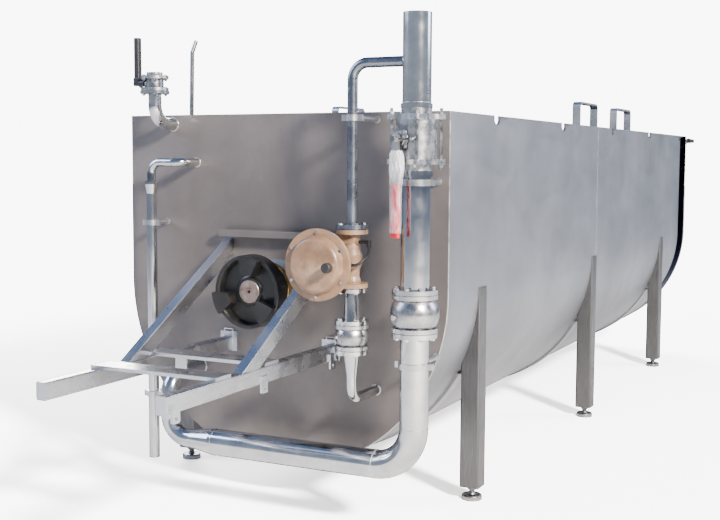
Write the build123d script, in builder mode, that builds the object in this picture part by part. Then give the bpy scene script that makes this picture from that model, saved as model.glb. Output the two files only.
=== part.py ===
from build123d import *
import os
from math import atan2, cos, radians, sin

os.makedirs("parts", exist_ok=True)

# Open U-shaped process vat with a horizontal agitator, pipework on its front plate and a gearmotor console.
# Millimetres, +Z up, Z = 0 at the floor, X = 0 in the vessel's plane of symmetry.
# The front plate faces -Y. Y = 0 is half way along the whole object.

# ---------------------------------------------------------------- driving dimensions
# Vessel
TANK_WIDTH = 1452
TANK_LENGTH = 4540
SIDE_HEIGHT = 687
FLOOR_GAP = 147
SHELL_WALL = 4
END_WALL = 6
TAIL_LENGTH = 200
STRAP_WIDTH = 40
STRAP_WALL = 3
RIM_BAR_HEIGHT = 55
RIM_BAR_WALL = 8
WELD_GAP = 0.2
BORE_FIT = 0.05
LOOSE_FIT = 0.5

# Rim slots
SLOT_COUNT = 5
FIRST_SLOT = 518
SLOT_PITCH = 943
SLOT_LENGTH = 170
SLOT_HEIGHT = 12
SLOT_HOLE_WIDTH = 72
SLOT_HOLE_DEPTH = 26

# Lifting bows
BOW_STATIONS = (1949, 2700)
BOW_LENGTH = 340
BOW_RISE = 119
BOW_FOOT = 50
BOW_WIDTH = 40
BOW_THICK = 10
BOW_BEND = 26

# Legs and feet
LEG_SIZE = 80
LEG_WALL = 4
LEG_X = 693
LEG_STATIONS = (368, 2062, 3767)
LEG_BOTTOM = 55
LEG_CAP = 10
FOOT_RADIUS = 40
FOOT_HEIGHT = 20
STEM_RADIUS = 10
STEM_TOP = 112
LOCK_NUT_HEIGHT = 14
SADDLE_WIDTH = 80
SADDLE_THICK = 10
SADDLE_SPAN = 61

# Agitator
SHAFT_RADIUS = 45
SHAFT_REACH = 228
ROTOR_TUBE_RADIUS = 70
ROTOR_TUBE_WALL = 8
ROTOR_END_GAP = 110
PADDLE_COUNT = 6
PADDLE_CLEARANCE = 60
PADDLE_TURN = 60
ARM_WIDTH = 80
ARM_THICK = 12
BLADE_LENGTH = 260
BLADE_DEPTH = 70
TAIL_REACH = 75

# Coupling half
COUPLING_RADIUS = 142.5
COUPLING_FACE = 247
COUPLING_DRUM = 75
COUPLING_HUB_RADIUS = 104
COUPLING_BACK = 116
RECESS_RADIUS = 124
RECESS_DEPTH = 30
NOSE_RADIUS = 56
CLAW_COUNT = 3
CLAW_START = 80
CLAW_SWEEP = 36
CLAW_INNER = 70
CLAW_REACH = 26

# Bearings
BEARING_FLANGE = 216
BEARING_FLANGE_THICK = 20
BEARING_BOSS_RADIUS = 66
BEARING_DEPTH = 48
BEARING_PCD = 182
GLAND_RADIUS = 106
GLAND_DEPTH = 62
GLAND_WIDTH = 24

# Gearmotor console
CONSOLE_REACH = 1110
RAIL_X = 238
RAIL_HEIGHT = 60
RAIL_WIDTH = 40
RAIL_WALL = 3
RAIL_DROP = 218
PAD_THICK = 8
PAD_MARGIN = 20
BRACE_TOE = 682
BRACE_TOP = 187
BAR_WIDTH = 92
BAR_THICK = 12
FRONT_BAR = 795
REAR_BAR = 487
MOTOR_HOLE_X = 130
MOTOR_HOLE_RADIUS = 9
LUG_STATIONS = (1068, 547, 40)
LUG_SIZE = 40
LUG_THICK = 8
LUG_DROP = 30
LEDGE_LENGTH = 514
LEDGE_DEPTH = 50
LEDGE_HEIGHT = 27
LEDGE_RISE = 195
LEDGE_WALL = 4

# Main pipe line
PIPE_STANDOFF = 208
PIPE_RADIUS = 52
PIPE_WALL = 2
RISER_INSET = 41
RISER_RISE = 333
MAIN_BEND = 150
RETURN_RISE = 117
REDUCER_START = -167
REDUCER_LENGTH = 130
RETURN_X = -390
RETURN_RADIUS = 35
RETURN_BEND = 90
RETURN_ENTRY_DROP = 357
PLATE_ENTRY = 20
FLANGE_THICK = 16
GASKET_THICK = 2
SMALL_FLANGE_THICK = 14

# Three-piece ball valve
VALVE_DROP = 109
VALVE_TURN = 20
VALVE_BODY_RADIUS = 73
VALVE_BODY_HALF = 70
BALL_RADIUS = 66
BALL_BORE = 48
SEAT_GAP = 0.3
EAR_HALF = 78
EAR_THICK = 18
EAR_BOLT = 62
CAP_NECK = 22
TIE_BOLT_RADIUS = 6
TIE_NUT_HEIGHT = 10
VALVE_STEM_RADIUS = 11
VALVE_BOSS_RADIUS = 26
VALVE_BOSS_REACH = 92
LEVER_OFFSET = 98
LEVER_THICK = 8
LEVER_WIDTH = 30
LEVER_LENGTH = 345
SLEEVE_LENGTH = 190
SLEEVE_WALL = 3
SLEEVE_FIT = 0.3
FILM_LENGTH = 265
FILM_WALL = 7

# Ball-shaped check valve in the main line
CHECK_DROP = 42
CHECK_BALL_RADIUS = 88.5
CHECK_WALL = 6
CHECK_FLANGE_RADIUS = 82.5
CHECK_TOP_FACE = 70
CHECK_LOW_FACE = 66
CHECK_PCD = 138
CHECK_BOLTS = 8
CHECK_BOLT = 6
DISC_RADIUS = 56
DISC_THICK = 10
DISC_TRAVEL = 20

# Small line with the diaphragm valve
SMALL_X = 432
SMALL_RADIUS = 19
SMALL_WALL = 1.5
SMALL_BEND = 60
SMALL_FLANGE_RADIUS = 58.5
SMALL_PCD = 90
SMALL_BOLTS = 4
SMALL_BOLT = 5
REGULATOR_TOP = 252
REGULATOR_BOTTOM = 39
DOME_X = 343
DOME_RISE = 126
DOME_REACH = 315
DOME_RADIUS = 104
DOME_FLANGE_RADIUS = 132
DOME_HEIGHT = 40
DOME_BOLT_RADIUS = 118
DOME_BOLTS = 6
KNOB_OFFSET = 77
KNOB_DROP = 2
CONE_SMALL_RADIUS = 24
CONE_LARGE_RADIUS = 32.5
SMALL_CHECK_RADIUS = 62
SMALL_CHECK_WALL = 5
SMALL_CHECK_TOP = -97
SMALL_CHECK_BOTTOM = -190
LOWER_CONE_BOTTOM = -295
SMALL_ENTRY_DROP = 380
SMALL_ENTRY_BEND = 52
HOSE_RADIUS = 5

# Pipe clamps
CLAMP_WIDTH = 22
CLAMP_THICK = 6
BOSS_RADIUS = 12

# Inlet with butterfly valve
INLET_X = -513
INLET_DROP = 39
INLET_STANDOFF = 121
INLET_RADIUS = 26.5
INLET_WALL = 2
INLET_BEND = 78
INLET_RISE = 93
BUTTERFLY_HEIGHT = 48
BUTTERFLY_RADIUS = 44
BUTTERFLY_FLANGE_RADIUS = 56
BUTTERFLY_RING_THICK = 12
BUTTERFLY_STEM_RADIUS = 6
BUTTERFLY_STEM_REACH = 62
GRIP_WIDTH = 28
GRIP_LENGTH = 185
GRIP_START = 14
GRIP_THICK = 26
HUB_RADIUS = 17

# Overflow and drain
OVERFLOW_X = -395
OVERFLOW_DROP = 195
OVERFLOW_STANDOFF = 109
OVERFLOW_RADIUS = 17.5
OVERFLOW_BEND = 45
DRAIN_X = -544
DRAIN_RADIUS = 20.5
FUNNEL_RADIUS = 27
FUNNEL_TOP_DROP = 273
FUNNEL_HEIGHT = 50
DRAIN_END = 136

# Vent tube
VENT_X = -463
VENT_SETBACK = 60
VENT_RADIUS = 9
VENT_START_DROP = 90
VENT_RISE = 262
VENT_TIP = 308

# Rear outlet
REAR_X = 640
REAR_DROP = 148
REAR_STANDOFF = 105
REAR_STUB = 80

# ---------------------------------------------------------------- derived places
SHELL_RADIUS = TANK_WIDTH / 2
AXIS_Z = FLOOR_GAP + SHELL_RADIUS
RIM_Z = AXIS_Z + SIDE_HEIGHT
REAR_REACH = REAR_STANDOFF + GRIP_LENGTH - 2 * GRIP_START
FRONT_Y = (CONSOLE_REACH - TANK_LENGTH - REAR_REACH) / 2
REAR_Y = FRONT_Y + TANK_LENGTH
INNER_RADIUS = SHELL_RADIUS - SHELL_WALL
PIPE_Y = FRONT_Y - PIPE_STANDOFF
RISER_X = SHELL_RADIUS - RISER_INSET
RISER_TOP = RIM_Z + RISER_RISE
VALVE_Z = RIM_Z - VALVE_DROP
CHECK_Z = AXIS_Z - CHECK_DROP
RETURN_Z = FLOOR_GAP + RETURN_RISE
RETURN_ENTRY_Z = AXIS_Z - RETURN_ENTRY_DROP
RAIL_TOP = AXIS_Z - RAIL_DROP
DOME_Z = AXIS_Z + DOME_RISE
FEED_Z = RIM_Z + 2 * SMALL_BEND + RISER_INSET + 5
INLET_Z = RIM_Z - INLET_DROP
INLET_TOP = RIM_Z + INLET_RISE
OVERFLOW_Z = RIM_Z - OVERFLOW_DROP
REAR_Z = RIM_Z - REAR_DROP

MIN = Align.MIN
MID = Align.CENTER


# ---------------------------------------------------------------- shared shapes
def facing_front(y, x=0, z=0):
    """Plane at a Y, seen from the front: its x is +X, its y is +Z, its normal is -Y."""
    return Plane(origin=(x, y, z), x_dir=(1, 0, 0), z_dir=(0, -1, 0))


def u_outline(radius, top=RIM_Z, mode=Mode.ADD):
    """Half circle below the shaft axis, with straight sides up to the rim."""
    with BuildLine() as outline:
        Line((-radius, top), (-radius, AXIS_Z))
        ThreePointArc((-radius, AXIS_Z), (0, AXIS_Z - radius), (radius, AXIS_Z))
        Line((radius, AXIS_Z), (radius, top))
        Line((radius, top), (-radius, top))
    make_face(outline.edges(), mode=mode)


def trough(start, end):
    """Add the vessel's U section between two Y positions."""
    with BuildSketch(facing_front(start)) as section:
        u_outline(SHELL_RADIUS)
        u_outline(INNER_RADIUS, mode=Mode.SUBTRACT)
    extrude(section.sketch, amount=start - end)


def turned(plane, outline, mode=Mode.ADD):
    """Add a body of revolution about a plane's normal from (radius, height) corners."""
    with BuildSketch(Plane(plane.origin, x_dir=plane.x_dir, z_dir=-plane.y_dir)) as section:
        with BuildLine():
            Polyline(*outline, close=True)
        make_face()
    revolve(section.sketch, axis=Axis(plane.origin, plane.z_dir), mode=mode)


def ring(plane, low, high, outer, inner=0, mode=Mode.ADD):
    """Add a round disc or ring between two heights over a plane."""
    with BuildSketch(plane.offset(low)) as section:
        Circle(outer)
        if inner:
            Circle(inner, mode=Mode.SUBTRACT)
    extrude(section.sketch, amount=high - low, mode=mode)


def pipe_run(points, outer, wall, bend):
    """Add a pipe along straight runs joined by tangent arcs."""
    with BuildLine() as route:
        FilletPolyline(*points, radius=bend)
    with BuildSketch(Plane(route.line @ 0, z_dir=route.line % 0)) as section:
        Circle(outer)
        Circle(outer - wall, mode=Mode.SUBTRACT)
    sweep(section.sketch, path=route.line)


def bolt_holes(plane, low, high, pcd, count, radius, start=0):
    """Cut a circle of clearance holes."""
    with BuildSketch(plane.offset(low)) as holes:
        with PolarLocations(pcd / 2, count, start_angle=start):
            Circle(radius + LOOSE_FIT)
    extrude(holes.sketch, amount=high - low, mode=Mode.SUBTRACT)


def bolt_circle(plane, low, high, pcd, count, radius, start=0, nut=True):
    """Add hexagon bolts, and their nuts, through a stack between two heights."""
    thick = 1.3 * radius
    with BuildSketch(plane.offset(high)) as heads:
        with PolarLocations(pcd / 2, count, start_angle=start):
            RegularPolygon(1.7 * radius, 6)
    extrude(heads.sketch, amount=thick)
    if nut:
        with BuildSketch(plane.offset(low - thick)) as nuts:
            with PolarLocations(pcd / 2, count, start_angle=start):
                RegularPolygon(1.7 * radius, 6)
        extrude(nuts.sketch, amount=thick)
        tail = low - 1.6 * thick
    else:
        tail = low
    with BuildSketch(plane.offset(tail)) as shanks:
        with PolarLocations(pcd / 2, count, start_angle=start):
            Circle(radius)
    extrude(shanks.sketch, amount=high - tail)


def flange(plane, low, high, outer, bore, pcd, count, bolt, start=0):
    """Add a round flange with its bolt holes."""
    ring(plane, low, high, outer, bore)
    bolt_holes(plane, low - 1, high + 1, pcd, count, bolt, start)


def hollow_ball(plane, radius, wall, low, high):
    """Add a ball-shaped housing, hollow and faced off at two heights."""
    with Locations(plane.location):
        Sphere(radius)
        Sphere(radius - wall, mode=Mode.SUBTRACT)
    ring(plane, high, 2 * radius, 2 * radius, mode=Mode.SUBTRACT)
    ring(plane, -2 * radius, low, 2 * radius, mode=Mode.SUBTRACT)


def plate_hole(x, z, radius):
    """Cut a round hole through the front or the rear plate's own plane."""
    with Locations((x, z)):
        Circle(radius, mode=Mode.SUBTRACT)


def save(part, name):
    """Label a finished piece and write its file."""
    part.label = name
    export_step(part, "parts/" + name + ".step")


# ---------------------------------------------------------------- vessel
MAIN_END = REAR_Y - TAIL_LENGTH
slot_starts = [FRONT_Y + FIRST_SLOT - SLOT_HOLE_WIDTH / 2 + SLOT_PITCH * i for i in range(SLOT_COUNT)]


def rim_cuts(slots, reach):
    """Cut the rim's half-round holes, and its slots, through both walls."""
    with BuildSketch(Plane.YZ.offset(-reach)) as cuts:
        for start in slot_starts:
            with Locations((start + SLOT_HOLE_WIDTH / 2, RIM_Z - SLOT_HEIGHT)):
                Ellipse(SLOT_HOLE_WIDTH / 2, SLOT_HOLE_DEPTH)
            if slots:
                with Locations((start, RIM_Z - SLOT_HEIGHT)):
                    Rectangle(SLOT_LENGTH, 2 * SLOT_HEIGHT, align=(MIN, MIN))
    extrude(cuts.sketch, amount=2 * reach, mode=Mode.SUBTRACT)


with BuildPart() as tank_shell:
    trough(FRONT_Y + END_WALL, MAIN_END)
    rim_cuts(True, SHELL_RADIUS + 1)
save(tank_shell.part, "tank_shell")

with BuildPart() as tail_shell:
    trough(MAIN_END, REAR_Y - END_WALL)
    rim_cuts(True, SHELL_RADIUS + 1)
    with BuildSketch(facing_front(MAIN_END - STRAP_WIDTH / 2)) as strap:
        u_outline(SHELL_RADIUS + STRAP_WALL, RIM_Z - SLOT_HEIGHT)
        u_outline(SHELL_RADIUS, RIM_Z, mode=Mode.SUBTRACT)
    extrude(strap.sketch, amount=-STRAP_WIDTH)
    # The strap laps the main sheet with a hair of room, and is welded to the tail sheet.
    with BuildSketch(facing_front(MAIN_END - STRAP_WIDTH)) as relief:
        u_outline(SHELL_RADIUS + WELD_GAP)
    extrude(relief.sketch, amount=-STRAP_WIDTH, mode=Mode.SUBTRACT)
save(tail_shell.part, "tail_shell")

with BuildPart() as rim_bars:
    bar_offset = INNER_RADIUS - RIM_BAR_WALL / 2
    with BuildSketch(Plane.XY.offset(RIM_Z - RIM_BAR_HEIGHT)) as bars:
        for side in (-1, 1):
            with Locations((side * bar_offset, (FRONT_Y + REAR_Y) / 2)):
                Rectangle(RIM_BAR_WALL, TANK_LENGTH - 2 * END_WALL)
    extrude(bars.sketch, amount=RIM_BAR_HEIGHT)
    rim_cuts(False, SHELL_RADIUS)
save(rim_bars.part, "rim_bars")

with BuildPart() as front_plate:
    with BuildSketch(facing_front(FRONT_Y)) as front_outline:
        u_outline(SHELL_RADIUS)
        plate_hole(0, AXIS_Z, SHAFT_RADIUS + 10)
        plate_hole(RETURN_X, RETURN_ENTRY_Z, RETURN_RADIUS + LOOSE_FIT)
        plate_hole(SMALL_X, AXIS_Z - SMALL_ENTRY_DROP, SMALL_RADIUS + LOOSE_FIT)
        plate_hole(INLET_X, INLET_Z, INLET_RADIUS + LOOSE_FIT)
        plate_hole(OVERFLOW_X, OVERFLOW_Z, OVERFLOW_RADIUS + LOOSE_FIT)
        with Locations((0, AXIS_Z)):
            with PolarLocations(BEARING_PCD / 2, 4, start_angle=45):
                Circle(9, mode=Mode.SUBTRACT)
    extrude(amount=-END_WALL)
save(front_plate.part, "front_plate")

with BuildPart() as rear_plate:
    with BuildSketch(facing_front(REAR_Y - END_WALL)) as rear_outline:
        u_outline(SHELL_RADIUS)
        plate_hole(0, AXIS_Z, SHAFT_RADIUS + 10)
        plate_hole(REAR_X, REAR_Z, INLET_RADIUS + LOOSE_FIT)
        with Locations((0, AXIS_Z)):
            with PolarLocations(BEARING_PCD / 2, 4, start_angle=45):
                Circle(9, mode=Mode.SUBTRACT)
    extrude(amount=-END_WALL)
save(rear_plate.part, "rear_plate")

with BuildPart() as lifting_bows:
    bow_x = INNER_RADIUS - RIM_BAR_WALL - BOW_WIDTH / 2
    for side in (-1, 1):
        with BuildSketch(Plane.YZ.offset(side * bow_x - BOW_WIDTH / 2)) as bow:
            for station in BOW_STATIONS:
                with Locations((FRONT_Y + station, RIM_Z - BOW_FOOT)):
                    Rectangle(BOW_LENGTH, BOW_RISE + BOW_FOOT, align=(MID, MIN))
            fillet(bow.vertices().group_by(Axis.Y)[-1], BOW_BEND)
            for station in BOW_STATIONS:
                with Locations((FRONT_Y + station, RIM_Z + BOW_RISE - BOW_THICK)):
                    Rectangle(
                        BOW_LENGTH - 2 * BOW_THICK,
                        BOW_RISE + BOW_FOOT,
                        align=(MID, Align.MAX),
                        mode=Mode.SUBTRACT,
                    )
        extrude(bow.sketch, amount=BOW_WIDTH)
    fillet(lifting_bows.edges().filter_by(Axis.X).group_by(Axis.Z)[-2], BOW_BEND - BOW_THICK)
save(lifting_bows.part, "lifting_bows")

# ---------------------------------------------------------------- legs, saddles and levelling feet
leg_places = [(side * LEG_X, FRONT_Y + y) for y in LEG_STATIONS for side in (-1, 1)]


def cut_shell(gap=WELD_GAP):
    """Cut away the round outside of the vessel."""
    ring(facing_front(REAR_Y, 0, AXIS_Z), 0, TANK_LENGTH, SHELL_RADIUS + gap, mode=Mode.SUBTRACT)


with BuildPart() as legs:
    with BuildSketch(Plane.XY.offset(LEG_BOTTOM)) as leg_tubes:
        with Locations(*leg_places):
            RectangleRounded(LEG_SIZE, LEG_SIZE, 2 * LEG_WALL)
    extrude(amount=AXIS_Z - LEG_BOTTOM)
    with BuildSketch(Plane.XY.offset(LEG_BOTTOM + LEG_CAP)) as leg_hollows:
        with Locations(*leg_places):
            RectangleRounded(LEG_SIZE - 2 * LEG_WALL, LEG_SIZE - 2 * LEG_WALL, LEG_WALL)
    extrude(amount=AXIS_Z - LEG_BOTTOM, mode=Mode.SUBTRACT)
    with BuildSketch(Plane.XY.offset(LEG_BOTTOM)) as stem_holes:
        with Locations(*leg_places):
            Circle(STEM_RADIUS + BORE_FIT)
    extrude(amount=LEG_CAP, mode=Mode.SUBTRACT)
    cut_shell()
save(legs.part, "legs")

with BuildPart() as saddle_straps:
    for station in LEG_STATIONS:
        with BuildSketch(facing_front(FRONT_Y + station - SADDLE_WIDTH / 2)) as saddle:
            with BuildLine():
                for edge_radius in (SHELL_RADIUS + WELD_GAP, SHELL_RADIUS + SADDLE_THICK):
                    CenterArc((0, AXIS_Z), edge_radius, 270 - SADDLE_SPAN, 2 * SADDLE_SPAN)
                for turn in (270 - SADDLE_SPAN, 270 + SADDLE_SPAN):
                    PolarLine(
                        (
                            (SHELL_RADIUS + WELD_GAP) * cos(radians(turn)),
                            AXIS_Z + (SHELL_RADIUS + WELD_GAP) * sin(radians(turn)),
                        ),
                        SADDLE_THICK - WELD_GAP,
                        turn,
                    )
            make_face()
        extrude(saddle.sketch, amount=-SADDLE_WIDTH)
save(saddle_straps.part, "saddle_straps")

for number, (foot_x, foot_y) in enumerate(leg_places, start=1):
    with BuildPart() as foot:
        ring(Plane((foot_x, foot_y, 0)), 0, FOOT_HEIGHT, FOOT_RADIUS)
        fillet(foot.edges().sort_by(Axis.Z)[-1], FOOT_HEIGHT / 3)
        turned(
            Plane((foot_x, foot_y, 0)),
            [
                (0, FOOT_HEIGHT),
                (1.6 * STEM_RADIUS, FOOT_HEIGHT),
                (STEM_RADIUS, 1.5 * FOOT_HEIGHT),
                (STEM_RADIUS, STEM_TOP - 1),
                (STEM_RADIUS - 1, STEM_TOP),
                (0, STEM_TOP),
            ],
        )
        with BuildSketch(Plane((foot_x, foot_y, LEG_BOTTOM - SEAT_GAP))) as lock_nut:
            RegularPolygon(1.7 * STEM_RADIUS, 6)
        extrude(lock_nut.sketch, amount=-LOCK_NUT_HEIGHT)
    save(foot.part, "levelling_foot_" + str(number))

# ---------------------------------------------------------------- agitator
axis_front = facing_front(FRONT_Y, 0, AXIS_Z)
ROTOR_FRONT = FRONT_Y + ROTOR_END_GAP
ROTOR_LENGTH = TANK_LENGTH - 2 * ROTOR_END_GAP
BLADE_TIP = INNER_RADIUS - PADDLE_CLEARANCE

with BuildPart() as agitator_shaft:
    ring(axis_front, -ROTOR_END_GAP, SHAFT_REACH, SHAFT_RADIUS)
    ring(axis_front, -TANK_LENGTH - TAIL_REACH, ROTOR_END_GAP - TANK_LENGTH, SHAFT_RADIUS)
    ring(
        axis_front,
        ROTOR_END_GAP - TANK_LENGTH,
        -ROTOR_END_GAP,
        ROTOR_TUBE_RADIUS,
        ROTOR_TUBE_RADIUS - ROTOR_TUBE_WALL,
    )
    # Welded end discs carry the two stub ends in the tube.
    for disc_start in (-ROTOR_END_GAP - 12, ROTOR_END_GAP - TANK_LENGTH):
        ring(axis_front, disc_start, disc_start + 12, ROTOR_TUBE_RADIUS)
    end_edges = agitator_shaft.faces().sort_by(Axis.Y)[0].edges()
    chamfer(end_edges, 2)
    ring(axis_front, SHAFT_REACH - 18, SHAFT_REACH, 6, mode=Mode.SUBTRACT)
    ring(axis_front, -300, -ROTOR_END_GAP - 12, 4, mode=Mode.SUBTRACT)
save(agitator_shaft.part, "agitator_shaft")

with BuildPart() as agitator_paddles:
    paddle_pitch = ROTOR_LENGTH / PADDLE_COUNT
    for index in range(PADDLE_COUNT):
        paddle_y = ROTOR_FRONT + paddle_pitch * (index + 0.5)
        for half_turn in (0, 180):
            with Locations(Location((0, paddle_y, AXIS_Z), (0, PADDLE_TURN * index + half_turn, 0))):
                with Locations((ROTOR_TUBE_RADIUS + WELD_GAP, 0, 0)):
                    Box(
                        BLADE_TIP - ROTOR_TUBE_RADIUS - WELD_GAP,
                        ARM_WIDTH,
                        ARM_THICK,
                        align=(MIN, MID, MID),
                    )
                with Locations((BLADE_TIP - BLADE_DEPTH, 0, 0)):
                    Box(BLADE_DEPTH, BLADE_LENGTH, ARM_THICK, align=(MIN, MID, MID))
save(agitator_paddles.part, "agitator_paddles")

with BuildPart() as coupling_half:
    turned(
        axis_front,
        [
            (SHAFT_RADIUS + BORE_FIT, COUPLING_BACK),
            (COUPLING_HUB_RADIUS, COUPLING_BACK),
            (COUPLING_HUB_RADIUS, COUPLING_BACK + 22),
            (COUPLING_RADIUS - 16, COUPLING_FACE - COUPLING_DRUM),
            (COUPLING_RADIUS - 8, COUPLING_FACE - COUPLING_DRUM + 10),
            (COUPLING_RADIUS, COUPLING_FACE - 58),
            (COUPLING_RADIUS, COUPLING_FACE - 3),
            (COUPLING_RADIUS - 3, COUPLING_FACE),
            (RECESS_RADIUS + 4, COUPLING_FACE),
            (RECESS_RADIUS, COUPLING_FACE - 6),
            (RECESS_RADIUS - 6, COUPLING_FACE - RECESS_DEPTH),
            (NOSE_RADIUS + 6, COUPLING_FACE - RECESS_DEPTH),
            (NOSE_RADIUS, SHAFT_REACH - 8),
            (NOSE_RADIUS - 3, SHAFT_REACH - 4),
            (SHAFT_RADIUS + BORE_FIT, SHAFT_REACH - 4),
        ],
    )
    for index in range(CLAW_COUNT):
        middle = CLAW_START + 360 / CLAW_COUNT * index
        with BuildSketch(axis_front.offset(COUPLING_FACE - RECESS_DEPTH)) as claw:
            with BuildLine():
                start = middle - CLAW_SWEEP / 2
                CenterArc((0, 0), CLAW_INNER, start, CLAW_SWEEP)
                CenterArc((0, 0), COUPLING_RADIUS - 2, start, CLAW_SWEEP)
                for turn in (start, start + CLAW_SWEEP):
                    PolarLine(
                        (CLAW_INNER * cos(radians(turn)), CLAW_INNER * sin(radians(turn))),
                        COUPLING_RADIUS - 2 - CLAW_INNER,
                        turn,
                    )
            make_face()
        extrude(claw.sketch, amount=RECESS_DEPTH + CLAW_REACH)
save(coupling_half.part, "coupling_half")

# ---------------------------------------------------------------- bearings and gland


def bearing(plane):
    """Add a round flange bearing housing over a plane."""
    with BuildSketch(plane) as housing:
        Circle(BEARING_FLANGE / 2)
        Circle(SHAFT_RADIUS + BORE_FIT, mode=Mode.SUBTRACT)
    extrude(housing.sketch, amount=BEARING_FLANGE_THICK)
    turned(
        plane,
        [
            (SHAFT_RADIUS + BORE_FIT, 0),
            (BEARING_BOSS_RADIUS + 10, 0),
            (BEARING_BOSS_RADIUS + 10, BEARING_FLANGE_THICK + 6),
            (BEARING_BOSS_RADIUS, BEARING_DEPTH),
            (SHAFT_RADIUS + BORE_FIT, BEARING_DEPTH),
        ],
    )
    bolt_holes(plane, -1, BEARING_FLANGE_THICK + 1, BEARING_PCD, 4, 8, 45)


rear_axis = Plane(origin=(0, REAR_Y, AXIS_Z), x_dir=(-1, 0, 0), z_dir=(0, 1, 0))
with BuildPart() as flange_bearings:
    bearing(axis_front)
    bearing(rear_axis)
save(flange_bearings.part, "flange_bearings")

with BuildPart() as gland_ring:
    gland_low = BEARING_DEPTH + GLAND_DEPTH - GLAND_WIDTH
    ring(axis_front, BEARING_DEPTH, gland_low, BEARING_BOSS_RADIUS, SHAFT_RADIUS + BORE_FIT)
    ring(axis_front, gland_low, BEARING_DEPTH + GLAND_DEPTH, GLAND_RADIUS, SHAFT_RADIUS + BORE_FIT)
    chamfer(gland_ring.edges().group_by(Axis.Y)[0], 2)
save(gland_ring.part, "gland_ring")

# ---------------------------------------------------------------- gearmotor console
RAIL_BOTTOM = RAIL_TOP - RAIL_HEIGHT


def rail(x):
    """Add one rail, a rectangular tube closed at its outer end, with its pad at the tank."""
    with BuildSketch(facing_front(FRONT_Y, x, RAIL_BOTTOM)) as pad:
        Rectangle(RAIL_WIDTH + 2 * PAD_MARGIN, RAIL_HEIGHT + PAD_MARGIN, align=(MID, MIN))
        with Locations((0, RAIL_HEIGHT / 2)):
            Circle(RAIL_WIDTH / 4, mode=Mode.SUBTRACT)
    extrude(pad.sketch, amount=PAD_THICK)
    with BuildSketch(facing_front(FRONT_Y - PAD_THICK, x, RAIL_BOTTOM + RAIL_HEIGHT / 2)) as tube:
        RectangleRounded(RAIL_WIDTH, RAIL_HEIGHT, 2 * RAIL_WALL)
    extrude(tube.sketch, amount=CONSOLE_REACH - PAD_THICK)
    with BuildSketch(facing_front(FRONT_Y - PAD_THICK, x, RAIL_BOTTOM + RAIL_HEIGHT / 2)) as hollow:
        RectangleRounded(RAIL_WIDTH - 2 * RAIL_WALL, RAIL_HEIGHT - 2 * RAIL_WALL, RAIL_WALL)
    extrude(hollow.sketch, amount=CONSOLE_REACH - PAD_THICK - RAIL_WALL, mode=Mode.SUBTRACT)


with BuildPart() as rail_left:
    rail(-RAIL_X)
save(rail_left.part, "rail_left")

with BuildPart() as rail_right:
    rail(RAIL_X)
    for station in LUG_STATIONS:
        with BuildSketch(Plane.YZ.offset(RAIL_X + RAIL_WIDTH / 2)) as lug:
            with Locations((FRONT_Y - station, RAIL_BOTTOM - LUG_DROP)):
                Rectangle(LUG_SIZE, LUG_DROP + RAIL_HEIGHT / 2, align=(MID, MIN))
            fillet(lug.vertices().group_by(Axis.Y)[0], 8)
            with Locations((FRONT_Y - station, RAIL_BOTTOM - LUG_DROP / 2)):
                Circle(7, mode=Mode.SUBTRACT)
        extrude(lug.sketch, amount=LUG_THICK)
save(rail_right.part, "rail_right")

BRACE_ANGLE = atan2(BRACE_TOP + RAIL_DROP, BRACE_TOE)


def brace_section(inset, overrun):
    """Slanted band from the rail's top face up to the front plate, inset from its long sides."""
    slope = (BRACE_TOP + RAIL_DROP) / BRACE_TOE
    top_drop = inset / cos(BRACE_ANGLE)
    low_drop = (RAIL_HEIGHT - inset) / cos(BRACE_ANGLE)
    far = -BRACE_TOE - overrun
    return [
        (FRONT_Y + far + top_drop / slope, RAIL_TOP - overrun * slope),
        (FRONT_Y + overrun, RAIL_TOP + (BRACE_TOE + overrun) * slope - top_drop),
        (FRONT_Y + overrun, RAIL_TOP + (BRACE_TOE + overrun) * slope - low_drop),
        (FRONT_Y + far + low_drop / slope, RAIL_TOP - overrun * slope),
    ]


with BuildPart() as braces:
    for side in (-1, 1):
        with BuildSketch(Plane.YZ.offset(side * RAIL_X - RAIL_WIDTH / 2)) as brace:
            with BuildLine():
                Polyline(*brace_section(0, 0), close=True)
            make_face()
        extrude(brace.sketch, amount=RAIL_WIDTH)
        with BuildSketch(Plane.YZ.offset(side * RAIL_X - RAIL_WIDTH / 2 + RAIL_WALL)) as brace_hollow:
            with BuildLine():
                Polyline(*brace_section(RAIL_WALL, 20), close=True)
            make_face()
        extrude(brace_hollow.sketch, amount=RAIL_WIDTH - 2 * RAIL_WALL, mode=Mode.SUBTRACT)
    long_edges = braces.edges().filter_by(lambda edge: edge.length > BRACE_TOE / 2)
    outer_edges = long_edges.filter_by(
        lambda edge: round(abs(abs(edge.center().X) - RAIL_X), 1) == RAIL_WIDTH / 2
    )
    fillet(outer_edges, RAIL_WALL)
save(braces.part, "braces")

with BuildPart() as crossbars:
    with BuildSketch(Plane.XY.offset(RAIL_TOP)) as bars_plan:
        for station in (FRONT_BAR, REAR_BAR):
            with Locations((0, FRONT_Y - station)):
                Rectangle(2 * RAIL_X + RAIL_WIDTH, BAR_WIDTH)
                with Locations((-MOTOR_HOLE_X, 0), (MOTOR_HOLE_X, 0)):
                    Circle(MOTOR_HOLE_RADIUS, mode=Mode.SUBTRACT)
    extrude(amount=BAR_THICK)
    with BuildSketch(Plane.XY.offset(RAIL_TOP)) as stop_tab:
        with Locations((-100, FRONT_Y - REAR_BAR - BAR_WIDTH / 2)):
            Rectangle(50, 8, align=(MID, MIN))
    extrude(stop_tab.sketch, amount=-45)
save(crossbars.part, "crossbars")

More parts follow.
